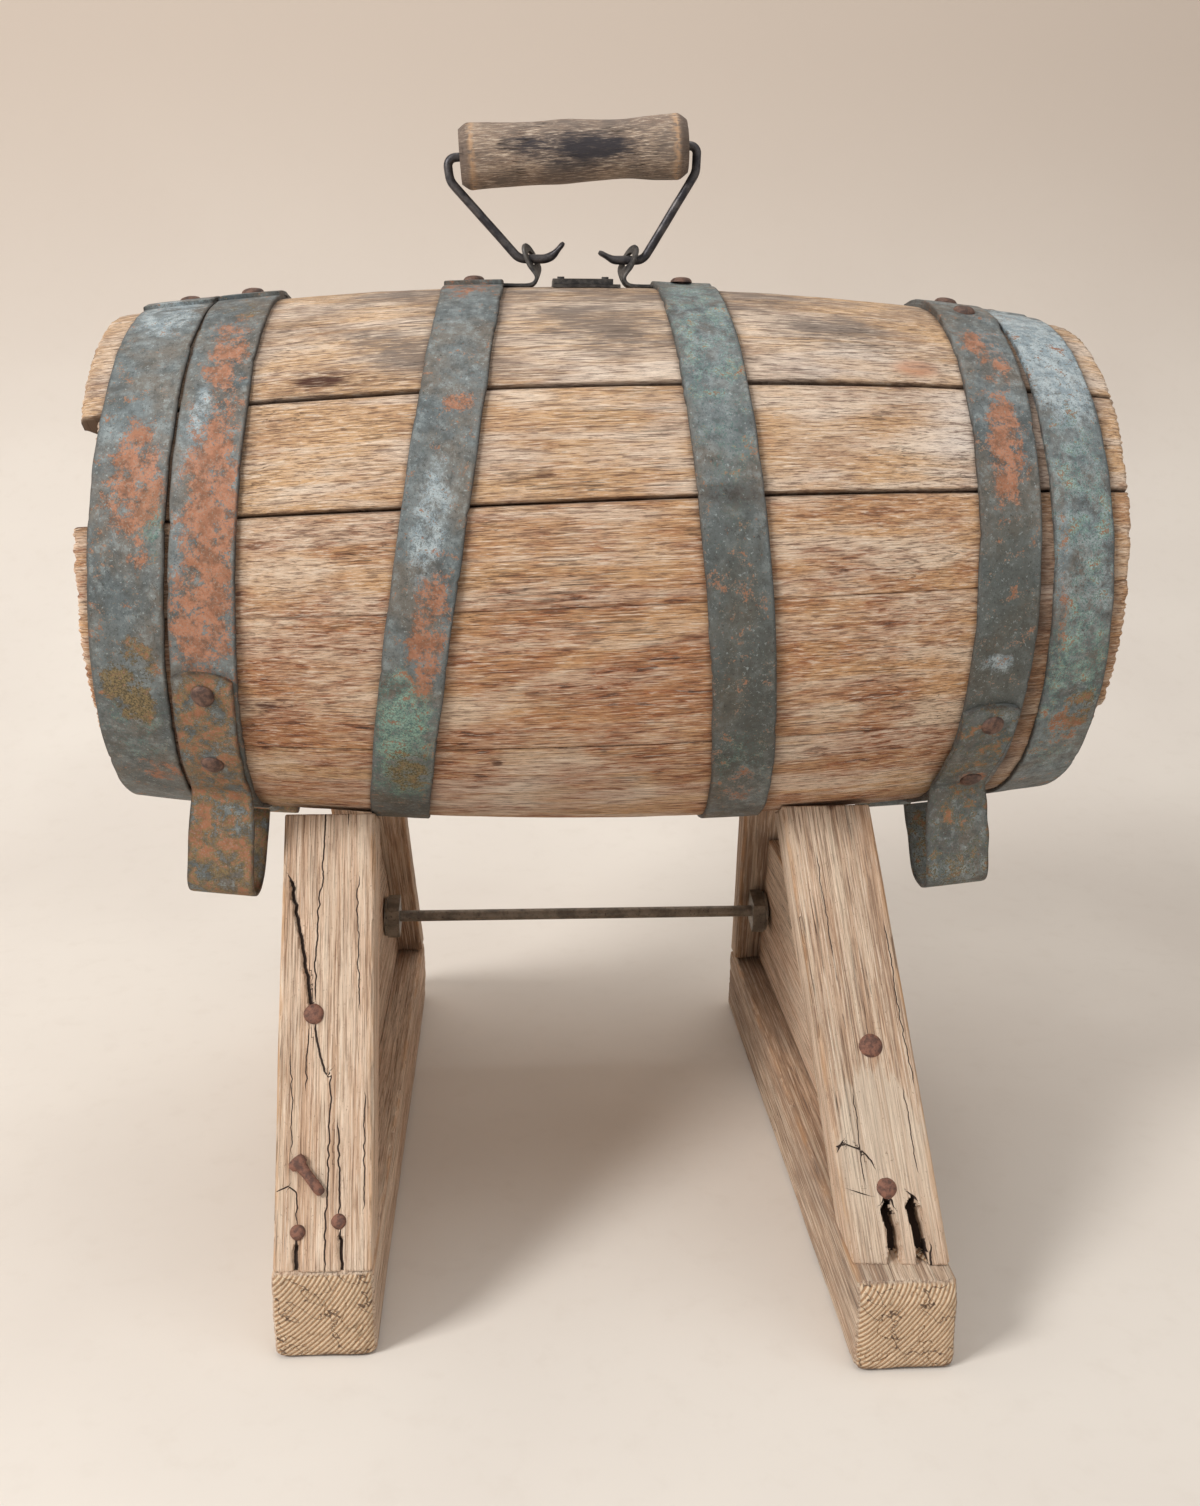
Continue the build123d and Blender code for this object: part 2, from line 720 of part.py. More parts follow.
with BuildPart() as tie_washers:
    for x, outward in faces:
        with BuildSketch(Plane.YZ.offset(x)):
            with Locations((rod_y, rod_height)):
                Circle(washer_radius)
                Circle(rod_radius + rod_clearance, mode=Mode.SUBTRACT)
        extrude(amount=outward * washer_thickness)
save(tie_washers, "tie_washers")

with BuildPart() as tie_nuts:
    for x, outward in faces:
        with BuildSketch(Plane.YZ.offset(x + outward * washer_thickness)):
            with Locations(Location((rod_y, rod_height, 0), (0, 0, nut_turn))):
                Rectangle(nut_across, nut_across)
            with Locations((rod_y, rod_height)):
                Circle(rod_radius + shank_clearance, mode=Mode.SUBTRACT)
        extrude(amount=outward * nut_thickness)
save(tie_nuts, "tie_nuts")
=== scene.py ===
import math

import bpy
import numpy as np
from mathutils import Matrix, Vector


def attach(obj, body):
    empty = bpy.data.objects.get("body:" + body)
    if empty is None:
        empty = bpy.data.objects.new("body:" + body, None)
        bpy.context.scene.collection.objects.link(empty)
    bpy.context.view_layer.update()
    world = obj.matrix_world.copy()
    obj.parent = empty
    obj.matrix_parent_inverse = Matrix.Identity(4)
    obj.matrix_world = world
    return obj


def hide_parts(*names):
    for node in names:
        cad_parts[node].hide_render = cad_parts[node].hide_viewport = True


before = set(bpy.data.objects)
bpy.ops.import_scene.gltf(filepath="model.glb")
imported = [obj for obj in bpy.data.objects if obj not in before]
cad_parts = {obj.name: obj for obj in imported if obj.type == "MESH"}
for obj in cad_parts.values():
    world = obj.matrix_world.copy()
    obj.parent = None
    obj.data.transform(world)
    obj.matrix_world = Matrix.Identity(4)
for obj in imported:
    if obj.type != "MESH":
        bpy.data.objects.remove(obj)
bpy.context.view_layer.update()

# The camera stands a little left of the keg's middle and above it, and looks slightly down,
# through a lens that shows the keg and its trestle whole.
camera_at = Vector((-0.03963, -0.68057, 0.40145))
camera_yaw, camera_pitch, camera_roll = 0.0628, 0.2632, 0.0084
ahead = Vector((math.sin(camera_yaw), math.cos(camera_yaw), 0))
aside = Vector((math.cos(camera_yaw), -math.sin(camera_yaw), 0))
upward = Vector((0, 0, 1))
sight = ahead * math.cos(camera_pitch) - upward * math.sin(camera_pitch)
top = upward * math.cos(camera_pitch) + ahead * math.sin(camera_pitch)
right = aside * math.cos(camera_roll) + top * math.sin(camera_roll)
top = top * math.cos(camera_roll) - aside * math.sin(camera_roll)
camera_data = bpy.data.cameras.new("viewer")
camera_data.sensor_fit = "HORIZONTAL"
camera_data.sensor_width = 36.0
camera_data.lens = 42.19
camera_data.clip_start = 0.02
camera = bpy.data.objects.new("viewer", camera_data)
bpy.context.scene.collection.objects.link(camera)
camera.matrix_world = Matrix((
    (right.x, top.x, -sight.x, camera_at.x),
    (right.y, top.y, -sight.y, camera_at.y),
    (right.z, top.z, -sight.z, camera_at.z),
    (0, 0, 0, 1),
))
bpy.context.scene.camera = camera
bpy.context.scene.view_settings.view_transform = "Standard"


# Eleven weathered oak staves, split and shaved to the keg's bulge, butted edge to edge.
# Their ends are ragged, and the seams between them have opened as the oak dried.
MM = 0.001
sharp_edge = math.radians(38)


def srgb(red, green, blue):
    """A colour given on a 0 to 255 scale, as the shaders want it."""
    parts = (red, green, blue)
    return (*(((c / 255 + 0.055) / 1.055) ** 2.4 if c > 10 else c / 3294 for c in parts), 1.0)


def lumps(x, y, z=0.0, seed=0):
    """Smooth relief between -1 and 1 with about one lump per unit."""
    place = np.stack(np.broadcast_arrays(x, y, z), -1).astype(float)
    cell = np.floor(place).astype(np.int64)
    part = place - cell
    part = part * part * (3 - 2 * part)
    total = 0.0
    for corner in np.ndindex(2, 2, 2):
        key = (cell + corner) @ np.array((374761393, 668265263, 1442695041)) + seed * 974634777
        key = (key ^ (key >> 13)) * 1274126177
        value = ((key ^ (key >> 16)) & 0xFFFF) / 32767.5 - 1
        total = total + value * np.prod(np.where(corner, part, 1 - part), axis=-1)
    return total


def layered(*layers):
    """Relief in layers, each given as its height in mm, where it is looked up, and its seed."""
    return sum(height * lumps(*place, seed=seed) for height, *place, seed in layers)


def step(value, low, high):
    """0 below low, 1 above high, smooth between."""
    t = np.clip((value - low) / (high - low), 0, 1)
    return t * t * (3 - 2 * t)


def shell(outer, inner, marks, closed=False):
    """A thick sheet between two grids of points in mm; closed joins its first row to its last."""
    rows, columns = outer.shape[:2]
    count = rows * columns
    index = np.arange(count).reshape(rows, columns)
    along = np.vstack([index, index[:1]]) if closed else index
    a, b, c, d = along[:-1, :-1], along[1:, :-1], along[1:, 1:], along[:-1, 1:]
    skin = np.stack([a, d, c, b], -1).reshape(-1, 4)
    faces = [skin, skin[:, ::-1] + count]
    rims = [along[:, 0], along[::-1, -1]]
    if not closed:
        rims += [index[0, ::-1], index[-1]]
    for rim in rims:
        faces.append(np.stack([rim[:-1], rim[1:], rim[1:] + count, rim[:-1] + count], -1))
    points = np.concatenate([outer.reshape(-1, 3), inner.reshape(-1, 3)])
    both = {key: np.concatenate([v.reshape(count, -1)] * 2) for key, v in marks.items()}
    return points, np.concatenate(faces).tolist(), both


def piece(name, body, finish, parts, stands_for):
    """Makes one object of one or more shells in mm and lets it ride on its body."""
    points, faces, offset = [], [], 0
    for part_points, part_faces, _ in parts:
        # Every shell faces outwards: one that encloses less than nothing is turned over
        quads = np.array([face for face in part_faces if len(face) == 4])
        a, b, c, d = ((part_points - part_points.mean(0))[quads[:, k]] for k in range(4))
        turn_over = -1 if np.sum(np.cross(b, c) * a + np.cross(c, d) * a) < 0 else 1
        points.append(part_points)
        faces += [[corner + offset for corner in face[::turn_over]] for face in part_faces]
        offset += len(part_points)
    mesh = bpy.data.meshes.new(name)
    mesh.from_pydata((np.concatenate(points) * MM).tolist(), [], faces)
    for key in parts[0][2]:
        values = np.concatenate([marks[key] for _, _, marks in parts])
        kind, field = ("FLOAT_VECTOR", "vector") if values.shape[1] == 3 else ("FLOAT", "value")
        mesh.attributes.new(key, kind, "POINT").data.foreach_set(field, values.ravel())
    mesh.shade_smooth()
    mesh.set_sharp_from_angle(angle=sharp_edge)
    mesh.materials.append(finish)
    made = bpy.data.objects.new(name, mesh)
    bpy.context.scene.collection.objects.link(made)
    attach(made, body)
    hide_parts(*stands_for)


def fill(socket, value):
    """Gives a shader input its value, or links it to another node's output."""
    if isinstance(value, bpy.types.NodeSocket):
        socket.id_data.links.new(value, socket)
    else:
        socket.default_value = value


def put(tree, kind, *values, **settings):
    """Adds a shader node, fills its inputs in order, and returns it."""
    node = tree.nodes.new("ShaderNode" + kind)
    for key, value in settings.items():
        setattr(node, key, value)
    for socket, value in zip(node.inputs, values):
        fill(socket, value)
    return node


def tune(node, **values):
    """Fills a shader node's inputs by their names, and returns the node."""
    for key, value in values.items():
        fill(node.inputs[key.replace("_", " ")], value)
    return node


def tree_of(*values):
    """The node tree in which the first linked one of these values lives."""
    return next(value.id_data for value in values if isinstance(value, bpy.types.NodeSocket))


def calc(operation, *values):
    return put(tree_of(*values), "Math", *values, operation=operation).outputs[0]


def times(first, second):
    return calc("MULTIPLY", first, second)


def plus(first, second):
    return calc("ADD", first, second)


def minus(first, second):
    return calc("SUBTRACT", first, second)


def scaled(vector, *factors):
    node = put(tree_of(vector), "VectorMath", vector, factors, operation="MULTIPLY")
    return node.outputs[0]


def noise(vector, scale, detail=4.0, roughness=0.55, distortion=0.0):
    node = put(tree_of(vector), "TexNoise", vector)
    return tune(node, Scale=scale, Detail=detail, Roughness=roughness,
                Distortion=distortion).outputs[0]


def streaks(grain, along, across, *shape):
    """Noise drawn out along the grain; shape is its detail, roughness and distortion."""
    return noise(scaled(grain, along, across, across), 1, *shape)


def mask(value, low, high):
    """0 below low, 1 above high, smooth between; low may be the larger one."""
    span = (low, high, 0.0, 1.0) if low < high else (high, low, 1.0, 0.0)
    return put(tree_of(value), "MapRange", value, *span, interpolation_type="SMOOTHSTEP").outputs[0]


def blend(factor, first, second):
    """The first colour with the second over it."""
    node = put(tree_of(factor, first, second), "Mix", data_type="RGBA")
    for index, value in ((0, factor), (6, first), (7, second)):
        fill(node.inputs[index], value)
    return node.outputs[2]


def wash(under, pattern, low, high, strength, colour):
    """A thin wash of colour where a pattern lies between two levels."""
    return blend(times(mask(pattern, low, high), strength), under, colour)


def group(name, inputs, outputs):
    """An empty shader node group with named sockets; returns it, its inputs and its exit."""
    tree = bpy.data.node_groups.new(name, "ShaderNodeTree")
    kinds = {"c": "NodeSocketColor", "v": "NodeSocketVector", "f": "NodeSocketFloat"}
    for way, sockets in (("INPUT", inputs), ("OUTPUT", outputs)):
        for label, kind in sockets.items():
            tree.interface.new_socket(label, in_out=way, socket_type=kinds[kind])
    entry, leave = tree.nodes.new("NodeGroupInput"), tree.nodes.new("NodeGroupOutput")
    return tree, {socket.name: socket for socket in entry.outputs}, leave


def place(tree, node_group, **values):
    """Puts a node group into a material with its own values, by the names of its sockets."""
    return tune(put(tree, "Group", node_tree=node_group), **values).outputs


def mark(tree, name, output="Fac"):
    return put(tree, "Attribute", attribute_name=name).outputs[output]


def material(name, build, relief=0.0, **fixed):
    """A Principled material from the colour, roughness, height and metal that build(tree) gives."""
    made = bpy.data.materials.new(name)
    made.use_nodes = True
    tree = made.node_tree
    tree.nodes.clear()
    shader = put(tree, "BsdfPrincipled")
    fill(put(tree, "OutputMaterial").inputs[0], shader.outputs[0])
    for key, value in {**build(tree), **fixed}.items():
        if key == "Height":
            bump = tune(put(tree, "Bump"), Distance=relief * MM, Height=value)
            key, value = "Normal", bump.outputs[0]
        fill(shader.inputs[key], value)
    return made


# Weathered wood: soft figure, short flame-like streaks, fibres, pores and drying checks.
oak, given, leave = group(
    "weathered_wood",
    {"Grain": "v", "Pale": "c", "Mid": "c", "Dark": "c", "Flame": "c", "Warm": "f", "Grey": "f",
     "Stain": "f", "Stain colour": "c", "Check": "f"},
    {"Color": "c", "Roughness": "f", "Height": "f"})
grain = given["Grain"]
figure = plus(streaks(grain, 0.014, 0.035, 4, 0.55, 0.4), streaks(grain, 0.008, 0.10, 3, 0.5, 0.8))
cloud = streaks(grain, 0.020, 0.040, 4, 0.6, 0.4)
streak = streaks(grain, 0.060, 0.42, 6, 0.66, 0.7)
fibre = streaks(grain, 0.080, 1.35, 5, 0.66, 0.4)
hair = streaks(grain, 0.17, 3.4, 4, 0.68, 0.25)
drying = streaks(grain, 0.011, 0.42, 3, 0.5, 0.35)
checks = times(mask(calc("ABSOLUTE", minus(drying, 0.5)), 0.009, 0.002), given["Check"])
checks = times(checks, mask(streaks(grain, 0.02, 0.05, 2), 0.5, 0.6))
tint = blend(mask(figure, 0.84, 1.12), given["Pale"], given["Mid"])
gate = times(mask(cloud, 0.38, 0.60), given["Warm"])
warmth = times(mask(streak, 0.47, 0.62), gate)
tint = blend(times(gate, 0.42), tint, given["Flame"])
tint = blend(warmth, tint, given["Flame"])
tint = wash(tint, streak, 0.55, 0.68, gate, given["Dark"])
tint = wash(tint, fibre, 0.52, 0.60, 0.62, given["Dark"])
tint = wash(tint, fibre, 0.47, 0.38, 0.60, srgb(240, 223, 203))
tint = wash(tint, hair, 0.53, 0.62, 0.45, given["Dark"])
tint = wash(tint, hair, 0.44, 0.32, 0.30, srgb(236, 220, 198))
weather = mask(plus(times(cloud, 0.55), times(fibre, 0.5)), 0.40, 0.66)
tint = blend(calc("MINIMUM", times(given["Grey"], weather), 0.85), tint, srgb(118, 106, 97))
soak = plus(given["Stain"], times(minus(plus(streak, fibre), 1.0), 1.1))
tint = blend(mask(soak, 0.25, 1.05), tint, given["Stain colour"])
tint = blend(checks, tint, srgb(52, 36, 26))
height = minus(1.0, times(fibre, 1.3))
for pattern, weight in ((hair, 0.35), (streak, 0.4), (checks, 1.6)):
    height = minus(height, times(pattern, weight))
tune(leave, Color=tint, Roughness=minus(0.86, times(warmth, 0.12)), Height=height)


def stave_finish(tree):
    tone, bleach = mark(tree, "tone"), mark(tree, "bleach")
    out = place(
        tree, oak, Grain=mark(tree, "grain", "Vector"),
        Pale=blend(bleach, blend(tone, srgb(228, 206, 184), srgb(220, 190, 160)),
                   srgb(226, 212, 200)),
        Mid=blend(bleach, blend(tone, srgb(212, 174, 132), srgb(200, 150, 104)),
                  srgb(214, 192, 172)),
        Dark=srgb(84, 52, 34), Flame=srgb(168, 98, 52), Warm=mark(tree, "warm"),
        Grey=mark(tree, "grey"), Stain=mark(tree, "stain"), Stain_colour=srgb(74, 40, 26),
        Check=0.5)
    soaked = times(mark(tree, "ochre"), mask(out[2], -0.5, 0.35))
    shade = blend(soaked, out[0], srgb(182, 112, 68))
    # Painted shadow beside the hoops, partly grime, darkens the wood there
    shade = blend(mark(tree, "hoop_shadow_and_grime"), shade, srgb(66, 46, 34))
    shade = blend(mark(tree, "edge"), shade, srgb(64, 44, 32))
    return {"Base Color": shade, "Roughness": out[1], "Height": out[2]}


stave_oak = material("stave_oak", stave_finish, relief=0.6)

# The keg's axis above the floor, its radii at the bilge and the chime, and half its length
AXIS = 315.0
BILGE, CHIME, HALF = 125.0, 110.0, 218.0
BEND = (HALF**2 + (BILGE - CHIME) ** 2) / (2 * (BILGE - CHIME))


def keg_radius(x, lift=0.0):
    return BILGE - BEND + np.sqrt((BEND + lift) ** 2 - x**2)


def on_keg(x, angle, radius):
    """Points at X, at an angle up from the viewer's horizon, and at a radius round the keg."""
    turn = np.radians(angle)
    x, y, z = np.broadcast_arrays(x, -radius * np.cos(turn), AXIS + radius * np.sin(turn))
    return np.stack([x, y, z], -1)


def blots(x, y, spots):
    """Soft spots given as (x, y, half width, half height, strength)."""
    total = np.zeros(np.broadcast(x, y).shape)
    for spot_x, spot_y, half_x, half_y, strength in spots:
        far = np.hypot((x - spot_x) / half_x, (y - spot_y) / half_y)
        total = np.maximum(total, strength * (1 - step(far, 0.45, 1.3)))
    return total


# Thickness in mm, and by how many degrees the staves lie askew to the keg's axis
stave_thickness, stave_skew = 12.0, 2.4
# Where the upper seam of each stave runs, in degrees up from the viewer's horizon
seams = [101.0, 41.5, 18.0, -1.5, -32.0, -70.0, -104.0, -137.0, -169.0, -199.0, -229.0]
# How far each seam has opened, from a hair line to a full gap
seam_open = [1.0, 1.0, 0.9, 0.12, 0.12, 0.6, 0.7, 0.9, 0.5, 0.8, 0.6]
# How many mm each stave falls short of the chime at its left and at its right end
left_short = [3.8, 11.5, 3.2, 2.6, 4.5, 3.0, 5.5, 0.0, 2.5, 4.0, 1.5]
right_short = [2.0, 1.5, 0.8, 0.4, 2.5, 3.5, 0.0, 3.0, 1.5, 2.5, 4.0]
# Spots as (mm along the keg, degrees, half length, half width, strength)
knots = [(-117, 43.4, 13, 1.7, 0.95), (-112, 43.6, 26, 3.4, 0.55), (-26.8, 22.9, 5, 1.8, 0.6),
         (-47, -37, 3, 1.2, 0.8), (-142, -23, 6, 1.3, 0.8), (-138, -23, 12, 2.6, 0.45),
         (60, 200, 7, 2.5, 1.0), (-90, 150, 6, 2, 0.9), (100, 255, 6, 2, 0.8),
         (124, 44, 12, 2.2, 0.5), (-52, 17, 4, 1.2, 0.5)]
grey_places = [(-75, 55, 34, 9, 1.0), (8, 62, 44, 14, 1.1), (95, 58, 26, 8, 0.7),
               (-62, 60, 30, 16, 0.6), (0, 95, 190, 34, 0.7), (-20, 160, 90, 24, 0.6),
               (120, 180, 60, 30, 0.6)]
bleached_places = [(160, 30, 34, 13, 0.95), (98, 47, 34, 6, 0.7), (178, 0, 20, 14, 0.6),
                   (-10, 47, 60, 5, 0.5), (-196, 60, 16, 20, 0.6), (196, 50, 16, 20, 0.4),
                   (86, 28, 20, 8, 0.35), (-30, -50, 80, 10, 0.4)]
soaked_places = [(129.5, 48.6, 10.5, 2.6, 1.0), (60, 30, 6, 2, 0.3)]
# How deep the colour of each stave is
stave_tones = (0.1, 0.25, 0.55, 0.75, 0.2, 0.5, 0.7, 0.3, 0.6, 0.4, 0.5)
# Centre at axis height, width, shift in X per mm of height, middle of the lap
hoops = {
    "hoop_1": (-193.8, 31.0, 0.071, 96.0), "hoop_2": (-163.2, 27.3, 0.063, 99.0),
    "hoop_3": (-75.5, 27.0, 0.155, 100.0), "hoop_4": (51.3, 27.5, -0.100, 103.0),
    "hoop_5": (163.8, 27.0, -0.020, 81.0), "hoop_6": (196.6, 27.0, -0.061, 104.0),
}


def hoop_x(name, angle):
    """Where the middle of a hoop lies along the keg at an angle round it."""
    centre, _, slope, _ = hoops[name]
    return centre + slope * float(keg_radius(centre)) * np.sin(np.radians(angle))


for number, upper in enumerate(seams):
    lower = seams[(number + 1) % len(seams)]
    lower -= 360 if lower > upper else 0
    fine = number < 5
    across = int((upper - lower) * math.radians(BILGE) / (0.85 if fine else 1.8)) + 2
    x_line = np.linspace(0, 1, 400 if fine else 150)[:, None]
    turn = np.linspace(upper, lower, across)[None, :]
    jag = 1.3 * np.abs(lumps(turn * 0.9, number, seed=3))
    jag = jag + 0.9 * np.abs(lumps(turn * 3.1, number, seed=4))
    left_end = left_short[number] - HALF + jag
    right_end = HALF - right_short[number] - 1.2 * np.abs(lumps(turn * 1.1, number, seed=5))
    x = left_end + (right_end - left_end) * x_line
    angle = turn + np.degrees(np.tan(math.radians(stave_skew)) * x / BILGE)
    arc = np.radians(turn - lower) * BILGE
    seam_far = np.minimum(arc, np.radians(upper - turn) * BILGE) + 0 * x
    end_far = np.minimum(x - left_end, right_end - x)
    # The edges stand back from an open seam and are worn round
    upper_half = turn > (upper + lower) / 2
    wide = np.where(upper_half, seam_open[number], seam_open[(number + 1) % len(seams)])
    opened = wide * (0.3 + 0.45 * np.abs(lumps(x * 0.012, number, seed=6)))
    angle = angle + np.degrees(opened / BILGE) * np.where(upper_half, -1, 1) * (
        1 - step(seam_far, 0, 5))
    worn = 0.35 + wide * (1.1 + 0.5 * lumps(x * 0.03, number, seed=7))
    rounded = np.sqrt(np.clip(worn**2 - np.clip(worn - seam_far, 0, worn) ** 2, 0, None))
    end_round = np.sqrt(np.clip(1 - np.clip(1 - end_far / 2.2, 0, 1) ** 2, 0, 1))
    rounded = worn - rounded + 1.4 * (1 - end_round)
    relief = layered((0.16, x * 0.05, arc * 0.55, 8 + number),
                     (0.12, x * 0.11, arc * 0.9, 30 + number),
                     (0.35, x * 0.012, arc * 0.05, 60 + number))
    outer = on_keg(x, angle, keg_radius(x) - rounded + np.minimum(relief, 0.25) - 0.2)
    bevel = 4.0 * (1 - step(end_far, 0, 6))
    inner = on_keg(x, angle, keg_radius(x, -stave_thickness) + bevel)
    turn = turn + 0 * x
    bleach = blots(x, turn, bleached_places)
    warm = (0.25 + 0.85 * step(-turn, -30, 12)) * (1 - 0.5 * step(x, 110, 200))
    warm = warm * (1 - step(-turn, 60, 100) * 0.5) * (1 - 0.6 * bleach)
    # Painted shadow, partly grime, along the hoops: a dark band on the right of each hoop, most in
    # the narrow gaps between the end pairs, and a thin one on the left
    hoop_shadow_and_grime = 0 * x
    for hoop, (_, hoop_width, _, _) in hoops.items():
        strength, reach = (0.95, 14.0) if hoop in ("hoop_1", "hoop_5") else (0.55, 6.5)
        right_far = x - hoop_x(hoop, angle) - hoop_width / 2
        left_far = hoop_x(hoop, angle) - hoop_width / 2 - x
        beside = strength * (1 - step(right_far, -1.0, reach)) * (right_far > -3)
        hoop_shadow_and_grime = np.maximum(hoop_shadow_and_grime, beside * (0.8 + 0.2 * lumps(arc * 0.08, x * 0.05, seed=90)))
        hoop_shadow_and_grime = np.maximum(hoop_shadow_and_grime, 0.3 * (1 - step(left_far, -0.5, 2.2)) * (left_far > -3))
    skin = np.stack([x, arc + number * 311.0 + 0 * x, keg_radius(x) - BILGE], -1)
    edge = 1 - step(np.minimum(seam_far, end_far + 2), 0.0, 0.5 + 1.0 * wide)
    marks = {
        "grain": skin, "bleach": bleach, "hoop_shadow_and_grime": hoop_shadow_and_grime, "warm": warm,
        "ochre": 0.85 * blots(x, angle, soaked_places),
        "tone": np.full(x.shape, stave_tones[number]),
        "grey": blots(x, turn, grey_places) + 0.35 * step(turn, 20, 60) + 0.1,
        "stain": blots(x, angle % 360 if number > 5 else angle, knots),
        "edge": (0.25 + 0.6 * wide) * edge,
    }
    name = f"stave_{number + 1:02d}"
    piece(f"oak_{name}", "keg", stave_oak, [shell(outer, inner, marks)], [name])


# Each head is four flat oak boards with bevelled rims, let into a groove inside the staves.
# The bung and the tap hole's plug are plain turned tapers, driven in by hand.
def head_finish(tree, pale=srgb(205, 168, 130), mid=srgb(176, 136, 100)):
    spot = put(tree, "TexCoord").outputs["Object"]
    turned = put(tree, "Mapping", spot, (0, 0, 0), (0, 0, math.pi / 2), (1 / MM, 1 / MM, 1 / MM))
    out = place(
        tree, oak, Grain=turned.outputs[0], Pale=pale, Mid=mid, Dark=srgb(100, 72, 52),
        Flame=srgb(160, 104, 68), Warm=0.5, Grey=0.8, Stain=0.0, Stain_colour=srgb(74, 40, 26),
        Check=1.0)
    return {"Base Color": out[0], "Roughness": out[1], "Height": out[2]}


def dress(finish, names):
    """Gives a material to pieces that are shown as the frame brings them."""
    for name in names:
        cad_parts[name].data.materials.clear()
        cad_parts[name].data.materials.append(finish)


head_oak = material("head_oak", head_finish, relief=0.5)
dress(head_oak, [f"{side}_head_board_{k}" for side in ("left", "right") for k in range(1, 5)])
plug_oak = material(
    "plug_oak", lambda tree: head_finish(tree, srgb(150, 112, 84), srgb(112, 80, 60)), relief=0.5)
dress(plug_oak, ("bung", "tap_plug"))


# Six bands of galvanised hoop iron, driven on askew, each closed by a riveted lap near the top.
# The zinc has gone dull slate with pale blooms, and rust and verdigris have come through.
zinc, given, leave = group(
    "worn_zinc",
    {"Place": "v", "Rust": "f", "Verdigris": "f", "Bloom": "f", "Moss": "f", "Shade": "f",
     "Rim": "f"},
    {"Color": "c", "Roughness": "f", "Metallic": "f", "Height": "f"})
spot = given["Place"]
broad = noise(spot, 0.030, 4, 0.55)
drift = noise(scaled(spot, 0.8, 1.0, 0.5), 0.05, 5, 0.6, 0.5)
mottle = noise(spot, 0.20, 7, 0.70)
grain = noise(spot, 1.1, 6, 0.72)
flake = noise(spot, 0.13, 10, 0.70, 0.3)
pepper = noise(spot, 0.62, 5, 0.78)
tint = blend(mask(broad, 0.34, 0.66), srgb(82, 86, 86), srgb(114, 120, 120))
tint = wash(tint, drift, 0.44, 0.62, 0.65, srgb(114, 104, 92))
tint = wash(tint, drift, 0.50, 0.34, 0.25, srgb(108, 124, 130))
tint = wash(tint, mottle, 0.50, 0.64, 0.50, srgb(148, 157, 157))
tint = wash(tint, mottle, 0.48, 0.38, 0.50, srgb(66, 68, 66))
tint = blend(times(given["Shade"], 0.75), tint, srgb(76, 76, 68))


def ragged(amount, coarse, fine, low, high):
    """Where a patch shows: its own soft spot, broken up by noise that eats holes and islands."""
    rough = plus(times(minus(flake, 0.5), coarse), times(minus(grain, 0.5), fine))
    return mask(plus(minus(times(amount, 1.25), 0.25), rough), low, high)


bloom = ragged(given["Bloom"], 4.6, 3.6, 0.20, 1.30)
frost = blend(mask(mottle, 0.40, 0.60), srgb(148, 164, 172), srgb(188, 200, 204))
tint = blend(times(bloom, 0.85), tint, frost)
dirt = blend(mask(drift, 0.4, 0.6), srgb(60, 64, 64), srgb(100, 82, 66))
tint = wash(tint, grain, 0.55, 0.64, 0.75, dirt)
tint = wash(tint, pepper, 0.59, 0.65, 0.75, srgb(50, 50, 48))
tint = wash(tint, pepper, 0.41, 0.35, 0.55, srgb(172, 182, 182))
verdigris = ragged(given["Verdigris"], 5.6, 6.4, 0.26, 0.74)
patina = blend(mask(grain, 0.42, 0.58), srgb(150, 184, 166), srgb(84, 112, 108))
tint = blend(times(verdigris, 0.85), tint, patina)
lichen = blend(mask(grain, 0.44, 0.56), srgb(142, 120, 76), srgb(86, 74, 50))
tint = blend(times(ragged(given["Moss"], 4.4, 3.0, 0.40, 0.66), 0.9), tint, lichen)
rust = times(ragged(given["Rust"], 5.6, 4.6, 0.36, 0.62), 0.92)
rust = calc("MAXIMUM", rust, times(mask(noise(spot, 0.5, 8, 0.74), 0.60, 0.67), 0.65))
rusty = blend(mask(mottle, 0.40, 0.58), srgb(124, 86, 64), srgb(178, 122, 92))
rusty = wash(rusty, flake, 0.50, 0.60, 0.6, srgb(152, 98, 68))
rusty = wash(rusty, grain, 0.53, 0.62, 0.75, srgb(150, 136, 122))
rusty = wash(rusty, grain, 0.45, 0.36, 0.5, srgb(112, 74, 56))
tint = blend(rust, tint, rusty)
tint = wash(tint, mottle, 0.36, 0.56, times(given["Rim"], 0.8), srgb(58, 50, 44))
dull = plus(plus(times(grain, 0.22), 0.50), times(calc("MAXIMUM", rust, verdigris), 0.25))
height = plus(minus(times(grain, 0.5), times(rust, 0.30)), times(mottle, 0.8))
tune(leave, Color=tint, Roughness=dull, Metallic=times(minus(1.0, rust), 0.22), Height=height)


def millimetres(tree):
    return scaled(put(tree, "TexCoord").outputs["Object"], 1 / MM, 1 / MM, 1 / MM)


def hoop_finish(tree):
    sockets = {"Rust": "rust", "Rim": "rim", "Verdigris": "green", "Bloom": "bloom", "Moss": "moss",
               "Shade": "shade"}
    out = place(tree, zinc, Place=millimetres(tree),
                **{socket: mark(tree, name) for socket, name in sockets.items()})
    return {"Base Color": out[0], "Roughness": out[1], "Metallic": out[2], "Height": out[3]}


hoop_iron = material("hoop_iron", hoop_finish, relief=0.28)
hoop_thickness, hoop_clearance = 1.6, 0.05
hoop_lift = hoop_clearance + hoop_thickness
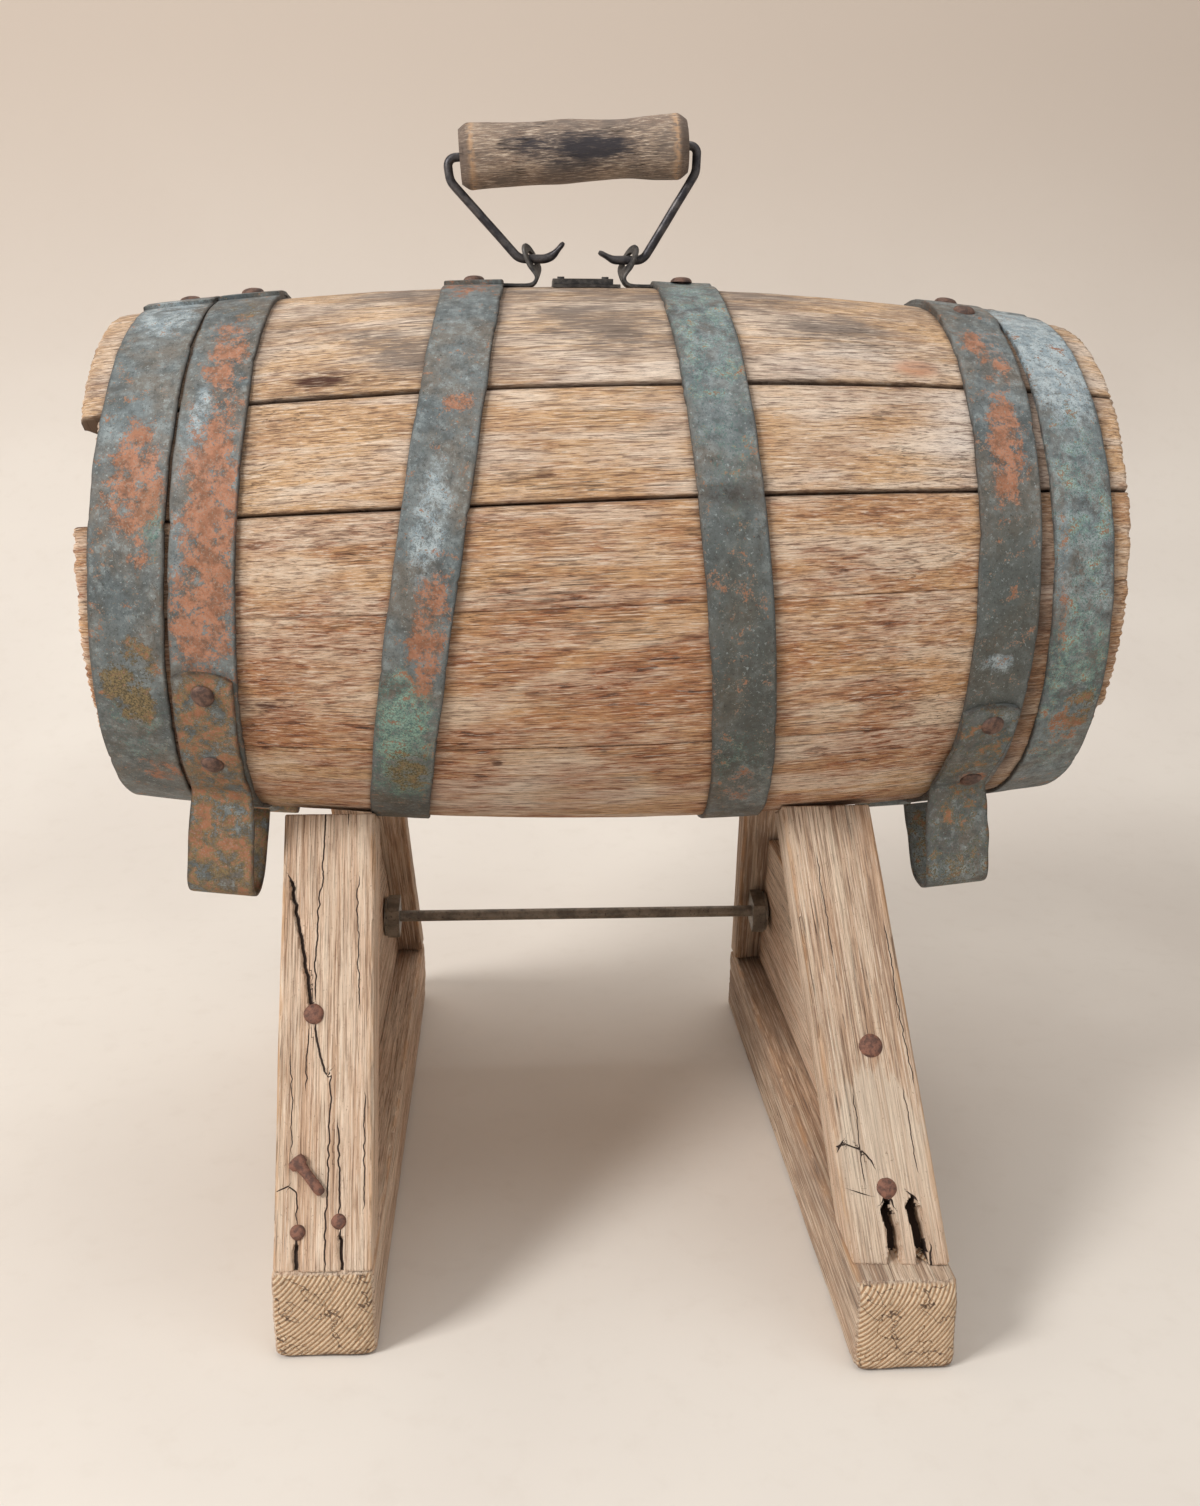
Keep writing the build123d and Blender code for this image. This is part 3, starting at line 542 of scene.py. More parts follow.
# Patches on each hoop as (angle, mm from its middle, half angle, half width in mm, strength)
patches = {
    "rust": {
        "hoop_1": [(22, 2, 13, 13, 0.95), (9, 6, 4, 5, 0.8), (-45, 4, 5, 12, 0.6),
                   (150, 0, 20, 15, 0.7), (210, 3, 12, 10, 0.9)],
        "hoop_2": [(52, 2, 14, 9, 0.85), (18, 3, 24, 13, 1.0), (-6, 0, 14, 14, 1.1),
                   (-35, 0, 14, 12, 0.7), (160, 0, 30, 12, 0.8), (230, 0, 20, 15, 0.6)],
        "hoop_3": [(37, 4, 2.5, 7, 0.9), (-8, 4, 15, 8, 0.75), (190, 0, 25, 12, 0.8),
                   (80, 0, 10, 14, 0.5)],
        "hoop_4": [(140, 0, 20, 9, 0.7), (215, 5, 18, 9, 0.7), (-45, 0, 8, 9, 0.4)],
        "hoop_5": [(31, 0, 15, 8, 1.05), (57, -3, 6, 5, 0.9), (50, 5, 5, 4, 0.8),
                   (170, 0, 25, 12, 0.8)],
        "hoop_6": [(-32, 0, 10, 12, 0.45), (200, 0, 20, 12, 0.7), (5, -9, 20, 3, 0.4)],
    },
    "green": {
        "hoop_1": [(14, 9, 8, 6, 0.8), (-30, 0, 16, 14, 0.4)],
        "hoop_3": [(-26, -2, 14, 14, 1.0), (-40, 0, 12, 14, 0.85)],
        "hoop_4": [(56, 0, 40, 16, 0.45), (-40, 0, 14, 12, 0.35)],
        "hoop_6": [(-20, 0, 30, 16, 0.6), (16, 0, 26, 16, 0.5)],
    },
    "bloom": {
        "hoop_1": [(72, 0, 16, 16, 0.9), (26, 9, 8, 5, 0.7), (-38, 0, 12, 14, 0.5)],
        "hoop_2": [(34, -4, 12, 5, 1.0), (15, -9, 30, 4, 0.6)],
        "hoop_3": [(14, -1, 14, 9, 0.9), (60, 0, 18, 10, 0.35), (-20, -6, 14, 6, 0.5)],
        "hoop_4": [(60, 0, 34, 16, 0.72), (-46, 2, 14, 12, 0.6)],
        "hoop_5": [(56, 6, 24, 9, 0.45), (-14, -2, 3, 9, 0.8)],
        "hoop_6": [(62, 0, 34, 20, 1.25), (12, 0, 36, 18, 0.82), (-30, 0, 30, 18, 0.68)],
    },
    "moss": {
        "hoop_1": [(-19, -5, 5, 8, 1.0), (-24, 2, 6, 9, 1.0), (-14, 4, 8, 10, 0.5)],
        "hoop_2": [(70, 4, 10, 12, 0.5)], "hoop_3": [(-40, 2, 9, 12, 0.75)],
        "hoop_6": [(-28, 4, 9, 10, 0.7)],
    },
    "smear": {"hoop_4": [(19, 0, 2.2, 14, 1.0)]},
    "shade": {
        "hoop_1": [(-48, 0, 16, 18, 0.4)], "hoop_2": [(-40, 0, 20, 18, 0.3)],
        "hoop_3": [(-62, 0, 26, 18, 0.6)], "hoop_4": [(-20, 0, 44, 18, 0.8)],
        "hoop_5": [(-8, 0, 34, 18, 0.85), (66, 0, 12, 16, 0.2)],
    },
}


def columns(edge, inner, count):
    """Places across a strip from -1 to 1, closest together along its edges."""
    return np.concatenate([-np.array(edge)[::-1], np.linspace(-inner, inner, count), edge])[None, :]


def band(name, start, stop, lift, closed, seed, extra=0.0, merge=False):
    """A strip of one hoop between two angles, nicked and slightly buckled; with merge its last
    end sinks into the strip below."""
    count = int(abs(start - stop) * math.radians(BILGE) / 2.2)
    angle = np.linspace(start, stop, count + 1)[:-1 if closed else None, None]
    across = columns((0.955, 0.985, 1), 0.9, 13)
    ring_x, ring_y = np.cos(np.radians(angle)), np.sin(np.radians(angle))
    nick = 0.35 * lumps(ring_x * 9, ring_y * 9, across > 0, seed=seed)
    nick = nick + 0.5 * step(lumps(ring_x * 34, ring_y * 34, across > 0, seed=seed + 1), 0.45, 0.9)
    offset = across * (hoops[name][1] / 2 - 0.15 - nick * (np.abs(across) > 0.9))
    x = hoop_x(name, angle) + offset
    rounding = 0.5 * np.clip((np.abs(across) - 0.955) / 0.045, 0, 1) ** 2
    buckle = layered((0.28, ring_x * 5, ring_y * 5, across * 0.7, seed + 2),
                     (0.10, ring_x * 22, ring_y * 22, across * 2.0, seed + 3))
    top_lift = lift - rounding + np.minimum(buckle, 0.12) + extra
    if merge:
        top_lift = top_lift - (hoop_thickness + 0.3) * (1 - step(angle, stop, stop + 5))
    outer = on_keg(x, angle, keg_radius(x) + top_lift)
    inner = on_keg(x, angle, keg_radius(x) + np.minimum(top_lift, lift) - hoop_thickness + 0.1)
    view = ((angle + 90) % 360) - 90 + 0 * x
    marks = {kind: blots(view, offset, on.get(name, ())) for kind, on in patches.items()}
    marks["rim"] = np.maximum(step(np.abs(across) + 0 * x, 0.90, 1.0), marks.pop("smear"))
    return shell(outer, inner, marks, closed)


lap_angle, lap_trim = 34.0, 0.3
for number, (name, (_, _, _, lap)) in enumerate(hoops.items()):
    ring = band(name, 360, 0, hoop_lift, True, number * 10)
    half_lap = lap_angle / 2 - lap_trim
    strap = band(name, lap + half_lap, lap - half_lap, hoop_lift + hoop_thickness, False,
                 number * 10 + 5, 0.1, merge=number > 2)
    piece(f"iron_{name}", "keg", hoop_iron, [ring, strap], [name])


# Round-headed iron rivets, two through each hoop's lap and two through each strap foot.
# They were closed by hammer, so no head is quite round or centred, and all are rusted brown.
def iron_finish(tree, pale, dark, scale=1.0, shine=0.4):
    spot = millimetres(tree)
    coarse = noise(spot, 0.25 * scale, 5, 0.65)
    fine = noise(spot, 1.6 * scale, 5, 0.7)
    tint = blend(mask(coarse, 0.38, 0.62), dark, pale)
    tint = blend(mask(fine, 0.56, 0.72), tint, srgb(52, 40, 34))
    return {"Base Color": tint, "Roughness": plus(times(fine, 0.3), shine),
            "Height": plus(coarse, times(fine, 0.7))}


rivet_iron = material(
    "rivet_iron", lambda tree: iron_finish(tree, srgb(116, 86, 72), srgb(74, 56, 50), 1.3),
    relief=0.3, Metallic=0.25)


def wrap(rows, around, turned=False, through=False):
    """Faces round rows of ring points, with flat ends or through the middle to the first row."""
    index = np.arange(rows * around).reshape(rows, around)
    ring = np.vstack([index, index[:1]]) if through else index
    beside = np.roll(ring, -1, axis=1)
    quads = np.stack([ring[:-1], beside[:-1], beside[1:], ring[1:]], -1).reshape(-1, 4)
    faces = quads[:, [0, 3, 2, 1]].tolist() if turned else quads.tolist()
    if not through:
        first, last = index[0].tolist(), index[-1].tolist()
        faces += [first, last[::-1]] if turned else [first[::-1], last]
    return faces


def full_turn(count):
    """Angles of one full turn in equal steps, without the last that would repeat the first."""
    return np.linspace(0, 2 * math.pi, count + 1)[:-1]


def stud(origin, aside, facing, radius, height, seed, shank=1.0):
    """A hammered round head on a surface: rings of points, and a short shank below it."""
    profile = [(0.02, 1.0), (0.3, 0.97), (0.55, 0.88), (0.78, 0.70), (0.92, 0.42), (1.0, 0.12),
               (1.0, -0.05), (0.45, -0.05), (0.4, -shank)]
    turn = full_turn(24)
    cos, sin = np.cos(turn), np.sin(turn)
    other = np.cross(facing, aside)
    rings = []
    for share, level in profile:
        wave = 1 + 0.07 * lumps(cos * 1.3, sin * 1.3, share * 0.5, seed=seed)
        bump = 0.08 * lumps(cos * share * 2, sin * share * 2, 0, seed=seed + 1)
        reach = radius * share * wave
        rise = height * (level + (bump if level > 0.3 else 0))
        rings.append(origin + np.outer(reach * cos, aside) + np.outer(reach * sin, other)
                     + np.outer(rise * np.ones(len(turn)), facing))
    return np.concatenate(rings), wrap(len(rings), len(turn), turned=True), {}


def keg_frame(x, angle, lift):
    """Origin, direction round the keg and outward direction at a point on the keg."""
    turn = math.radians(angle)
    lean = math.atan(float(keg_radius(x + 0.5) - keg_radius(x - 0.5)))
    out = np.array((0, -math.cos(turn), math.sin(turn)))
    round_it = np.array((0, math.sin(turn), math.cos(turn)))
    facing = out * math.cos(lean) - np.array((math.sin(lean), 0, 0))
    origin = np.array((x, 0, AXIS)) + out * float(keg_radius(x)) + facing * lift
    return origin, round_it, facing


# The angles of both rivets in each hoop's lap, and the radius and height of a head
lap_rivets = {"hoop_1": (93, 106), "hoop_2": (88, 108), "hoop_3": (90, 110),
              "hoop_4": (90, 114), "hoop_5": (87, 73), "hoop_6": (98, 114)}
rivet_radius, rivet_height = 5.0, 2.2
heads = []
for name, angles in lap_rivets.items():
    for angle in angles:
        heads.append(stud(*keg_frame(hoop_x(name, angle), angle, hoop_lift + hoop_thickness),
                          rivet_radius, rivet_height, int(angle) + len(heads)))
piece("lap_rivet_heads", "keg", rivet_iron, heads, ["hoop_rivets"])
# Each pair of strap feet lies on one hoop and begins at an angle below the horizon
foot_hoops = {"left": ("hoop_2", -15.0), "right": ("hoop_5", -23.5)}
foot_thickness, foot_clearance = 2.4, 0.1
foot_lift = hoop_lift + foot_clearance + foot_thickness
heads = []
for name, top_angle in foot_hoops.values():
    for angle in (top_angle - 5.2, top_angle - 24, 185.2 - top_angle, 204 - top_angle):
        heads.append(stud(*keg_frame(hoop_x(name, angle), angle, foot_lift),
                          rivet_radius - 0.1, rivet_height - 0.1, len(heads) + 70))
piece("foot_rivet_heads", "keg", rivet_iron, heads, ["foot_rivets"])


# Four straps of hoop iron, riveted down over the hoops and folded under into a loop.
# The keg once stood or was tied down by them; they are bent and stained like the hoops.
def unit(vector):
    return vector / np.linalg.norm(vector)


def gone_along(line):
    """How far each point of a line lies from its start, along the line."""
    return np.concatenate([[0], np.cumsum(np.linalg.norm(np.diff(line, axis=0), axis=1))])


def heading_along(line):
    heading = np.gradient(line, axis=0)
    return heading / np.linalg.norm(heading, axis=1)[:, None]


def bent_line(corners, bends, pitch=1.2):
    """Points along a line with its corners bent to the given radii, evenly spaced."""
    corners = [np.array(c, float) for c in corners]
    route = [corners[0]]
    for before, corner, after, bend in zip(corners, corners[1:], corners[2:], bends):
        back, on = unit(before - corner), unit(after - corner)
        half = math.acos(max(-1, min(1, float(back @ on)))) / 2
        reach = bend / math.tan(half)
        middle = corner + unit(back + on) * bend / math.sin(half)
        start, stop = corner + back * reach - middle, corner + on * reach - middle
        span = math.pi - 2 * half
        for t in np.linspace(0, 1, max(4, int(bend * span / pitch) + 2)):
            mixed = start * math.sin((1 - t) * span) + stop * math.sin(t * span)
            route.append(middle + mixed / math.sin(span))
    route = np.array(route + [corners[-1]])
    gone = gone_along(route)
    even = np.linspace(0, gone[-1], int(gone[-1] / pitch) + 2)
    return np.stack([np.interp(even, gone, route[:, i]) for i in range(route.shape[1])], -1)


# How far from the keg's middle plane the front and the back of the loop hang, how much the
# back one leans out, and how far the loop reaches below the keg
foot_front, foot_back, foot_taper, foot_drop = 74.0, 44.0, 9.0, 20.0
# Half the strap's width on the keg, how much more the loop has, and how far the loop stands
# to the left of the strap above it
foot_half, foot_flare, foot_shift = 12.6, 2.2, {"left": 0.0, "right": 3.4}
# Rust, verdigris, bloom and moss on each pair
foot_colours = {"left": (0.45, 0.0, 0.15, 0.80), "right": (0.12, 0.40, 0.30, 0.45)}
for number, (side, (name, top_angle)) in enumerate(foot_hoops.items()):
    # The strap leaves the keg where the loop's front hangs down
    fold_lift = foot_lift - foot_thickness / 2
    about = float(keg_radius(hoop_x(name, -52)))
    leave_angle = -math.degrees(math.acos(foot_front / (about + fold_lift)))
    fold_x = hoop_x(name, leave_angle)
    turn = math.radians(leave_angle)
    slope = float(keg_radius(fold_x + 0.5) - keg_radius(fold_x - 0.5))
    lie = unit(np.array((1, -math.cos(turn) * slope, math.sin(turn) * slope)))
    inward = unit(np.array((0, 1, 0)) - lie * lie[1])
    rising = np.cross(lie, inward)
    fold_radius = float(keg_radius(fold_x)) + fold_lift
    corner = np.array((fold_x, -fold_radius * math.cos(turn), AXIS + fold_radius * math.sin(turn)))
    fall = BILGE + foot_drop + corner[2] - AXIS - 1.0
    depth = foot_front - foot_back - foot_taper
    under = float(keg_radius(fold_x)) + hoop_lift
    return_top = AXIS - math.sqrt(under**2 - (foot_back - 1) ** 2) - 0.4 - corner[2]
    angles = np.radians(np.arange(top_angle - 0.4, leave_angle + 3.0, -0.6))
    lay = np.stack([-np.cos(angles), np.sin(angles)], -1)
    start = lay[-1] * fold_radius - (corner[1], corner[2] - AXIS)
    loop = bent_line([start, (0, 0), (0, -fall), (depth, -fall), (depth + foot_taper, return_top)],
                     (6.0, depth * 0.48, depth * 0.48))
    bend = heading_along(loop)
    middle = np.concatenate([
        np.stack([hoop_x(name, np.degrees(angles)), lay[:, 0] * fold_radius,
                  AXIS + lay[:, 1] * fold_radius], -1)[:-1],
        corner + loop[:, :1] * inward + loop[:, 1:] * rising])
    outward = np.concatenate([
        np.stack([0 * angles, lay[:, 0], lay[:, 1]], -1)[:-1],
        bend[:, 1:] * inward - bend[:, :1] * rising])
    gone = gone_along(middle)
    fold_start = gone[len(angles)] + 5
    across = columns((0.92, 0.97, 1), 0.85, 14)
    s = gone[:, None] + 0 * across
    half_wide = foot_half + foot_flare * step(s, fold_start - 12, fold_start + 26)
    nick = 0.3 * lumps(s * 0.12, across > 0, seed=80 + number) * (np.abs(across) > 0.9)
    offset = across * (half_wide - nick) - 0.7 * (1 - step(s, fold_start - 20, fold_start))
    offset = offset - foot_shift[side] * step(s, 12, fold_start)
    buckle = layered((0.16, s * 0.06, across * 0.8, 90 + number),
                     (0.08, s * 0.25, across * 2, 95 + number))
    thick = foot_thickness / 2 - 0.2 * step(s, fold_start - 8, fold_start + 6)
    thick = thick - 0.3 * np.clip((np.abs(across) - 0.92) / 0.08, 0, 1) ** 2
    # The strap's top end is cut round
    drop_back = 3.2 * np.abs(across) ** 3 * (1 - step(s, 0, 9))
    sheet = (middle[:, None] + heading_along(middle)[:, None] * drop_back[..., None]
             + offset[..., None] * lie)
    outer, inner = (sheet + outward[:, None] * (sign * thick + buckle)[..., None]
                    for sign in (1, -1))
    rust_level, green_level, bloom_level, moss_level = foot_colours[side]
    near_bottom = step(s, fold_start + 20, fold_start + 45)
    marks = {
        "rust": np.maximum(rust_level - 0.15 * near_bottom,
                           blots(offset, s, [(0, 48, 9, 8, 0.7)])),
        "green": np.full(s.shape, green_level), "moss": np.full(s.shape, moss_level),
        "bloom": bloom_level + 0.35 * near_bottom,
        "rim": np.maximum(step(np.abs(across) + 0 * s, 0.88, 1.0), 1 - step(s, 0, 2.5)),
    }
    for end, mirror in (("front", 1), ("rear", -1)):
        flip = np.array((1, mirror, 1))
        kept = {key: value[:, ::mirror] for key, value in marks.items()}
        piece(f"iron_{end}_{side}_foot", "keg", hoop_iron,
              [shell(outer[:, ::mirror] * flip, inner[:, ::mirror] * flip, kept)],
              [f"{end}_{side}_foot"])


# A square plate in two layers is tacked down over the bung. Each eye is a short strap let into
# the stave under its hoop and turned up, with a punched hole for the bail.
plate_iron = material(
    "plate_iron", lambda tree: iron_finish(tree, srgb(96, 92, 88), srgb(58, 56, 56), 1.0, 0.35),
    relief=0.15, Metallic=0.45)
dress(plate_iron, ("bung_plate", "bung_plate_seat", "plate_tacks"))

# Where each eye stands along the keg, the height of both, and the radius of their holes
eyes = {"left": -30.4, "right": 14.6}
eye_height, eye_radius = 452.0, 3.4
# The strap's half width, half thickness and twist, the length of its tip, and of its tail
strap_half, strap_thick, strap_twist = 5.6, 0.8, math.radians(28)
tip_length, tail_length = 7.2, 16.0
for side, eye_x in eyes.items():
    towards = -1 if side == "left" else 1
    lying = AXIS + float(keg_radius(eye_x)) + 0.55
    rising = bent_line(
        [(eye_x + towards * tail_length, lying), (eye_x - towards * 3.4, lying),
         (eye_x - towards * 2.4, eye_height - 5), (eye_x + towards * 0.1, eye_height + 0.5),
         (eye_x + towards * 3.4, eye_height + 8.4)], (4.2, 7.0, 9.0), 0.5)
    gone = gone_along(rising)
    at_eye = float(np.interp(eye_height, rising[-40:, 1], gone[-40:]))
    # Round the hole in rings: a leaf-shaped tip above it, the straight strap below it
    turn = full_turn(96)[:, None] * towards
    tip = 1 / np.hypot(np.cos(turn) / tip_length, np.sin(turn) / strap_half)
    strap = np.minimum(strap_half / np.maximum(np.abs(np.sin(turn)), 0.001),
                       at_eye / np.maximum(-np.cos(turn), 0.001))
    reach = np.where(np.cos(turn) > 0, tip, strap)
    share = np.linspace(0, 1, 40)[None, :] ** 1.25
    from_eye = eye_radius + (reach - eye_radius) * share
    along, y = at_eye + from_eye * np.cos(turn), from_eye * np.sin(turn)
    heading = heading_along(rising)
    centre_x, centre_z = (np.interp(along, gone, rising[:, k]) for k in (0, 1))
    out_x, out_z = -np.interp(along, gone, heading[:, 1]), np.interp(along, gone, heading[:, 0])
    twist = strap_twist * step(along, at_eye - 10, at_eye - 3) * -towards
    thin = strap_thick - 0.35 * step(share, 0.92, 1.0)
    thin = thin + 0.08 * lumps(along * 0.3, y * 0.3, seed=15)
    layers = []
    for face in (1, -1):
        off_x, off_z = face * thin * out_x, face * thin * out_z
        layers.append(np.stack([
            centre_x + off_x * np.cos(twist) + y * np.sin(twist),
            y * np.cos(twist) - off_x * np.sin(twist), centre_z + off_z], -1))
    piece(f"bent_{side}_eye_strap", "keg", plate_iron,
          [shell(*layers, {}, True)], [f"{side}_eye_strap"])


# One length of stout iron wire runs through the grip, down to both eyes, and ends in open
# hooks that were flattened and bent up by hand.
wire_iron = material(
    "wire_iron", lambda tree: iron_finish(tree, srgb(92, 88, 88), srgb(58, 56, 60), 0.8, 0.28),
    relief=0.12, Metallic=0.6)
wire_radius, grip_half, grip_radius = 2.0, 51.0, 13.0
# The grip hangs a little askew: its turn, and its middle as (X, height)
grip_turn = math.radians(3.6)
grip_middle = np.array((-11.0, 498.0))
grip_line = np.array((math.cos(grip_turn), math.sin(grip_turn)))
left_corner, right_corner = grip_middle - grip_line * grip_half, grip_middle + grip_line * grip_half
route = bent_line(
    [(-15.4, 459.2), (-21.6, eye_height), (-35.8, eye_height), left_corner - (4.6, 10.2),
     grip_middle - grip_line * 57, grip_middle + grip_line * 56, right_corner + (4.6, -11.2),
     (21.0, eye_height), (7.4, eye_height), (0.6, 455.4)],
    (9.0, 7.0, 8.0, 3.6, 3.2, 8.0, 6.0, 6.0), 0.9)
heading = heading_along(route)
gone = gone_along(route)[:, None]
turn = full_turn(16)[None, :]
from_end = np.minimum(gone, gone[-1] - gone)
hooked = 1 - step(from_end, 3, 9)
taper = 1 - 0.75 * (1 - step(from_end, -1.5, 1.5))
worn = wire_radius + 0.06 * lumps(gone * 0.2, np.cos(turn) * 2, np.sin(turn) * 2, seed=12)
side_reach = (worn + 0.7 * hooked) * taper * np.cos(turn)
flat_reach = (worn - 0.75 * hooked) * taper * np.sin(turn)
tube = np.stack([route[:, :1] - heading[:, 1:] * flat_reach, side_reach,
                 route[:, 1:] + heading[:, :1] * flat_reach], -1)
piece("bent_wire", "bail", wire_iron,
      [(tube.reshape(-1, 3), wrap(*tube.shape[:2]), {})], ["bail_wire"])


# A turned wooden grip, waisted by use, grey and nearly black where it is held, with pale ends.
# It turns freely on the wire.
def grip_finish(tree):
    grain = mark(tree, "grain", "Vector")
    out = place(
        tree, oak, Grain=scaled(grain, 2.2, 1.5, 1.5), Pale=srgb(184, 160, 138),
        Mid=srgb(150, 126, 108), Dark=srgb(70, 56, 50), Flame=srgb(150, 112, 86), Warm=0.15,
        Grey=1.0, Stain=mark(tree, "stain"), Stain_colour=srgb(58, 54, 58), Check=1.4)
    worn = times(mark(tree, "edge"), mask(streaks(grain, 0.4, 0.4, 4), 0.38, 0.56))
    tint = blend(times(worn, 0.7), out[0], srgb(206, 166, 128))
    tint = blend(mark(tree, "end"), tint, srgb(104, 88, 78))
    return {"Base Color": tint, "Roughness": out[1], "Height": out[2]}


grip_wood = material("grip_wood", grip_finish, relief=0.5)
# Places along the grip in mm from its left end, closest together at both ends
stations = np.concatenate([np.linspace(0, 2.2, 6), np.linspace(3, 99, 97),
                           np.linspace(99.8, 2 * grip_half, 6)])
turn = full_turn(72)[None, :]
cos, sin = np.cos(turn), np.sin(turn)
share = ((stations - grip_half) / grip_half)[:, None]
end_far = grip_half * (1 - np.abs(share))
radius = grip_radius + 1.2 * np.abs(share) ** 2.2 + 0.25 * lumps(share * 4, cos, sin, seed=41)
radius = radius + 0.55 * np.exp(-((share + 0.08) / 0.2) ** 2)
radius = radius - 0.45 * np.exp(-((share - 0.42) / 0.2) ** 2)
radius = radius - 0.35 * step(share, -0.15, 0.25) * step(-share, -0.75, -0.3)
radius = radius + 0.10 * lumps(share * 3, cos * 9, sin * 9, seed=42)
# The ends are chamfered, and chips have gone from their rims
radius = radius - 3.6 * (1 - step(end_far, -2.0, 4.6)) * (1 - 0.4 * step(end_far, 3.0, 4.8))
chips = step(lumps(share * 26, cos * 3, sin * 3, seed=43), 0.5, 0.9)
radius = radius - 0.5 * chips * (1 - step(end_far, 1, 6))
# Each end closes in to the hole for the wire
caps = np.array([0.82, 0.6, 0.4, 0.18])[:, None]
radius = np.concatenate([radius[0] * caps[::-1], radius, radius[-1] * caps])
sunk = np.array([0.0, 0.15, 0.1, 0.0])
length = np.concatenate([sunk - grip_half, stations - grip_half, grip_half - sunk[::-1]])
place_along = length[:, None] + 0 * turn
up = radius * sin
points = np.stack([
    grip_middle[0] + place_along * grip_line[0] - up * grip_line[1], radius * cos,
    grip_middle[1] + place_along * grip_line[1] + up * grip_line[0]], -1)
end_far = grip_half - np.abs(place_along)
marks = {
    "grain": np.stack([place_along, grip_radius * cos + 0 * place_along + 40, up], -1),
    "stain": blots(place_along, np.degrees(turn) + 0 * place_along, [
        (4, 185, 34, 52, 0.72), (8, 182, 22, 30, 1.05), (14, 60, 22, 60, 0.6),
        (-20, 172, 16, 24, 0.8), (20, 320, 20, 50, 0.7)]),
    "edge": np.exp(-((end_far - 5.2) / 1.8) ** 2),
    "end": 0.7 * (1 - step(end_far, 3.4, 4.8)),
}
marks = {key: value.reshape(up.size, -1) for key, value in marks.items()}
piece("turned_grip", "grip", grip_wood,
      [(points.reshape(-1, 3), wrap(*up.shape, through=True), marks)], ["grip"])


# Each frame is sawn softwood: a sill on the floor, two leaning legs cut to the keg's round,
# and an upright board between them. The grain has risen and the ends have checked.
def timber_finish(tree):
    tone, end = mark(tree, "tone"), mark(tree, "end")
    along, ring = mark(tree, "grain", "Vector"), mark(tree, "rings", "Vector")
    out = place(
        tree, oak, Grain=scaled(along, 0.45, 1.0, 1.0),
        Pale=blend(tone, srgb(232, 208, 184), srgb(198, 172, 146)),
        Mid=blend(tone, srgb(220, 186, 158), srgb(184, 152, 124)), Dark=srgb(118, 86, 64),
        Flame=srgb(190, 144, 104), Warm=0.4, Grey=mark(tree, "grey"), Stain=mark(tree, "stain"),
        Stain_colour=srgb(96, 68, 52), Check=0.8)
    tint = blend(mark(tree, "bare"), out[0], srgb(214, 198, 178))
    # Straight lines of the yearly rings along the timber, and fine specks across it
    lines = streaks(along, 0.006, 0.55, 3, 0.6, 0.3)
    tint = wash(tint, lines, 0.52, 0.60, 0.28, srgb(150, 114, 84))
    tint = wash(tint, lines, 0.46, 0.40, 0.35, srgb(232, 214, 190))
    specks = streaks(along, 0.7, 1.0, 5, 0.7)
    tint = wash(tint, specks, 0.60, 0.70, 0.6, srgb(104, 76, 58))
    # Rings on the sawn ends
    wave = put(tree, "TexWave", ring, wave_type="BANDS", bands_direction="X")
    tune(wave, Scale=0.175, Distortion=0.7, Detail=2.0, Detail_Scale=0.6)
    sawn = blend(mask(wave.outputs[1], 0.45, 0.80), srgb(228, 202, 170), srgb(178, 138, 102))
    sawn = wash(sawn, noise(along, 0.8, 5, 0.7), 0.55, 0.64, 0.6, srgb(122, 86, 60))
    dried = noise(scaled(ring, 0.035, 0.9, 1.0), 1, 4, 0.6)
    sawn = wash(sawn, calc("ABSOLUTE", minus(dried, 0.5)), 0.010, 0.003, 0.8, srgb(78, 54, 40))
    tint = blend(end, tint, sawn)
    amber = times(mark(tree, "edge"), 0.7)
    tint = wash(tint, streaks(along, 0.03, 0.15, 4), 0.42, 0.6, amber, srgb(196, 148, 102))
    tint = blend(mark(tree, "damp"), tint, srgb(110, 80, 58))
    # A crack: dark inside its own width, ragged, and only where it is the nearest one
    gap = put(tree, "SeparateXYZ", mark(tree, "gap", "Vector")).outputs
    half = times(gap[2], plus(0.75, times(minus(specks, 0.5), 0.5)))
    far = calc("DIVIDE", calc("ABSOLUTE", gap[0]), calc("MAXIMUM", half, 0.05))
    crack = times(times(mask(far, 1.25, 0.8), mask(gap[1], 2.4, 1.8)), mask(gap[2], 0.02, 0.12))
    tint = blend(crack, tint, srgb(50, 34, 26))
    height = minus(plus(out[2], times(lines, -1.2)), times(crack, 1.5))
    height = minus(height, times(end, wave.outputs[1]))
    return {"Base Color": tint, "Roughness": out[1], "Height": height}


trestle_pine = material("trestle_pine", timber_finish, relief=0.5)


def near_lines(a, t, lines):
    """Signed distance to the nearest crack, plain distance, and half width there, all in mm."""
    shape = np.broadcast(a, t).shape
    signed, plain, width = np.full(shape, 9.0), np.full(shape, 9.0), np.zeros(shape)
    for line, half in lines:
        gone, whole = 0.0, sum(math.dist(p, q) for p, q in zip(line, line[1:]))
        for (a0, t0), (a1, t1) in zip(line, line[1:]):
            run = np.array((a1 - a0, t1 - t0))
            reach = math.hypot(*run)
            share = np.clip(((a - a0) * run[0] + (t - t0) * run[1]) / (run @ run), 0, 1)
            far = np.hypot(a - a0 - share * run[0], t - t0 - share * run[1])
            side = np.sign((a - a0) * run[1] - (t - t0) * run[0])
            side = side * np.sign(run[1] if run[1] else 1.0)
            place_on = gone + share * reach
            taper = np.minimum(1, 0.3 + np.minimum(place_on, whole - place_on) / 5)
            closer = far < plain
            signed = np.where(closer, side * far, signed)
            width = np.where(closer, half * taper, width)
            plain = np.minimum(plain, far)
            gone += reach
    return signed, plain, width


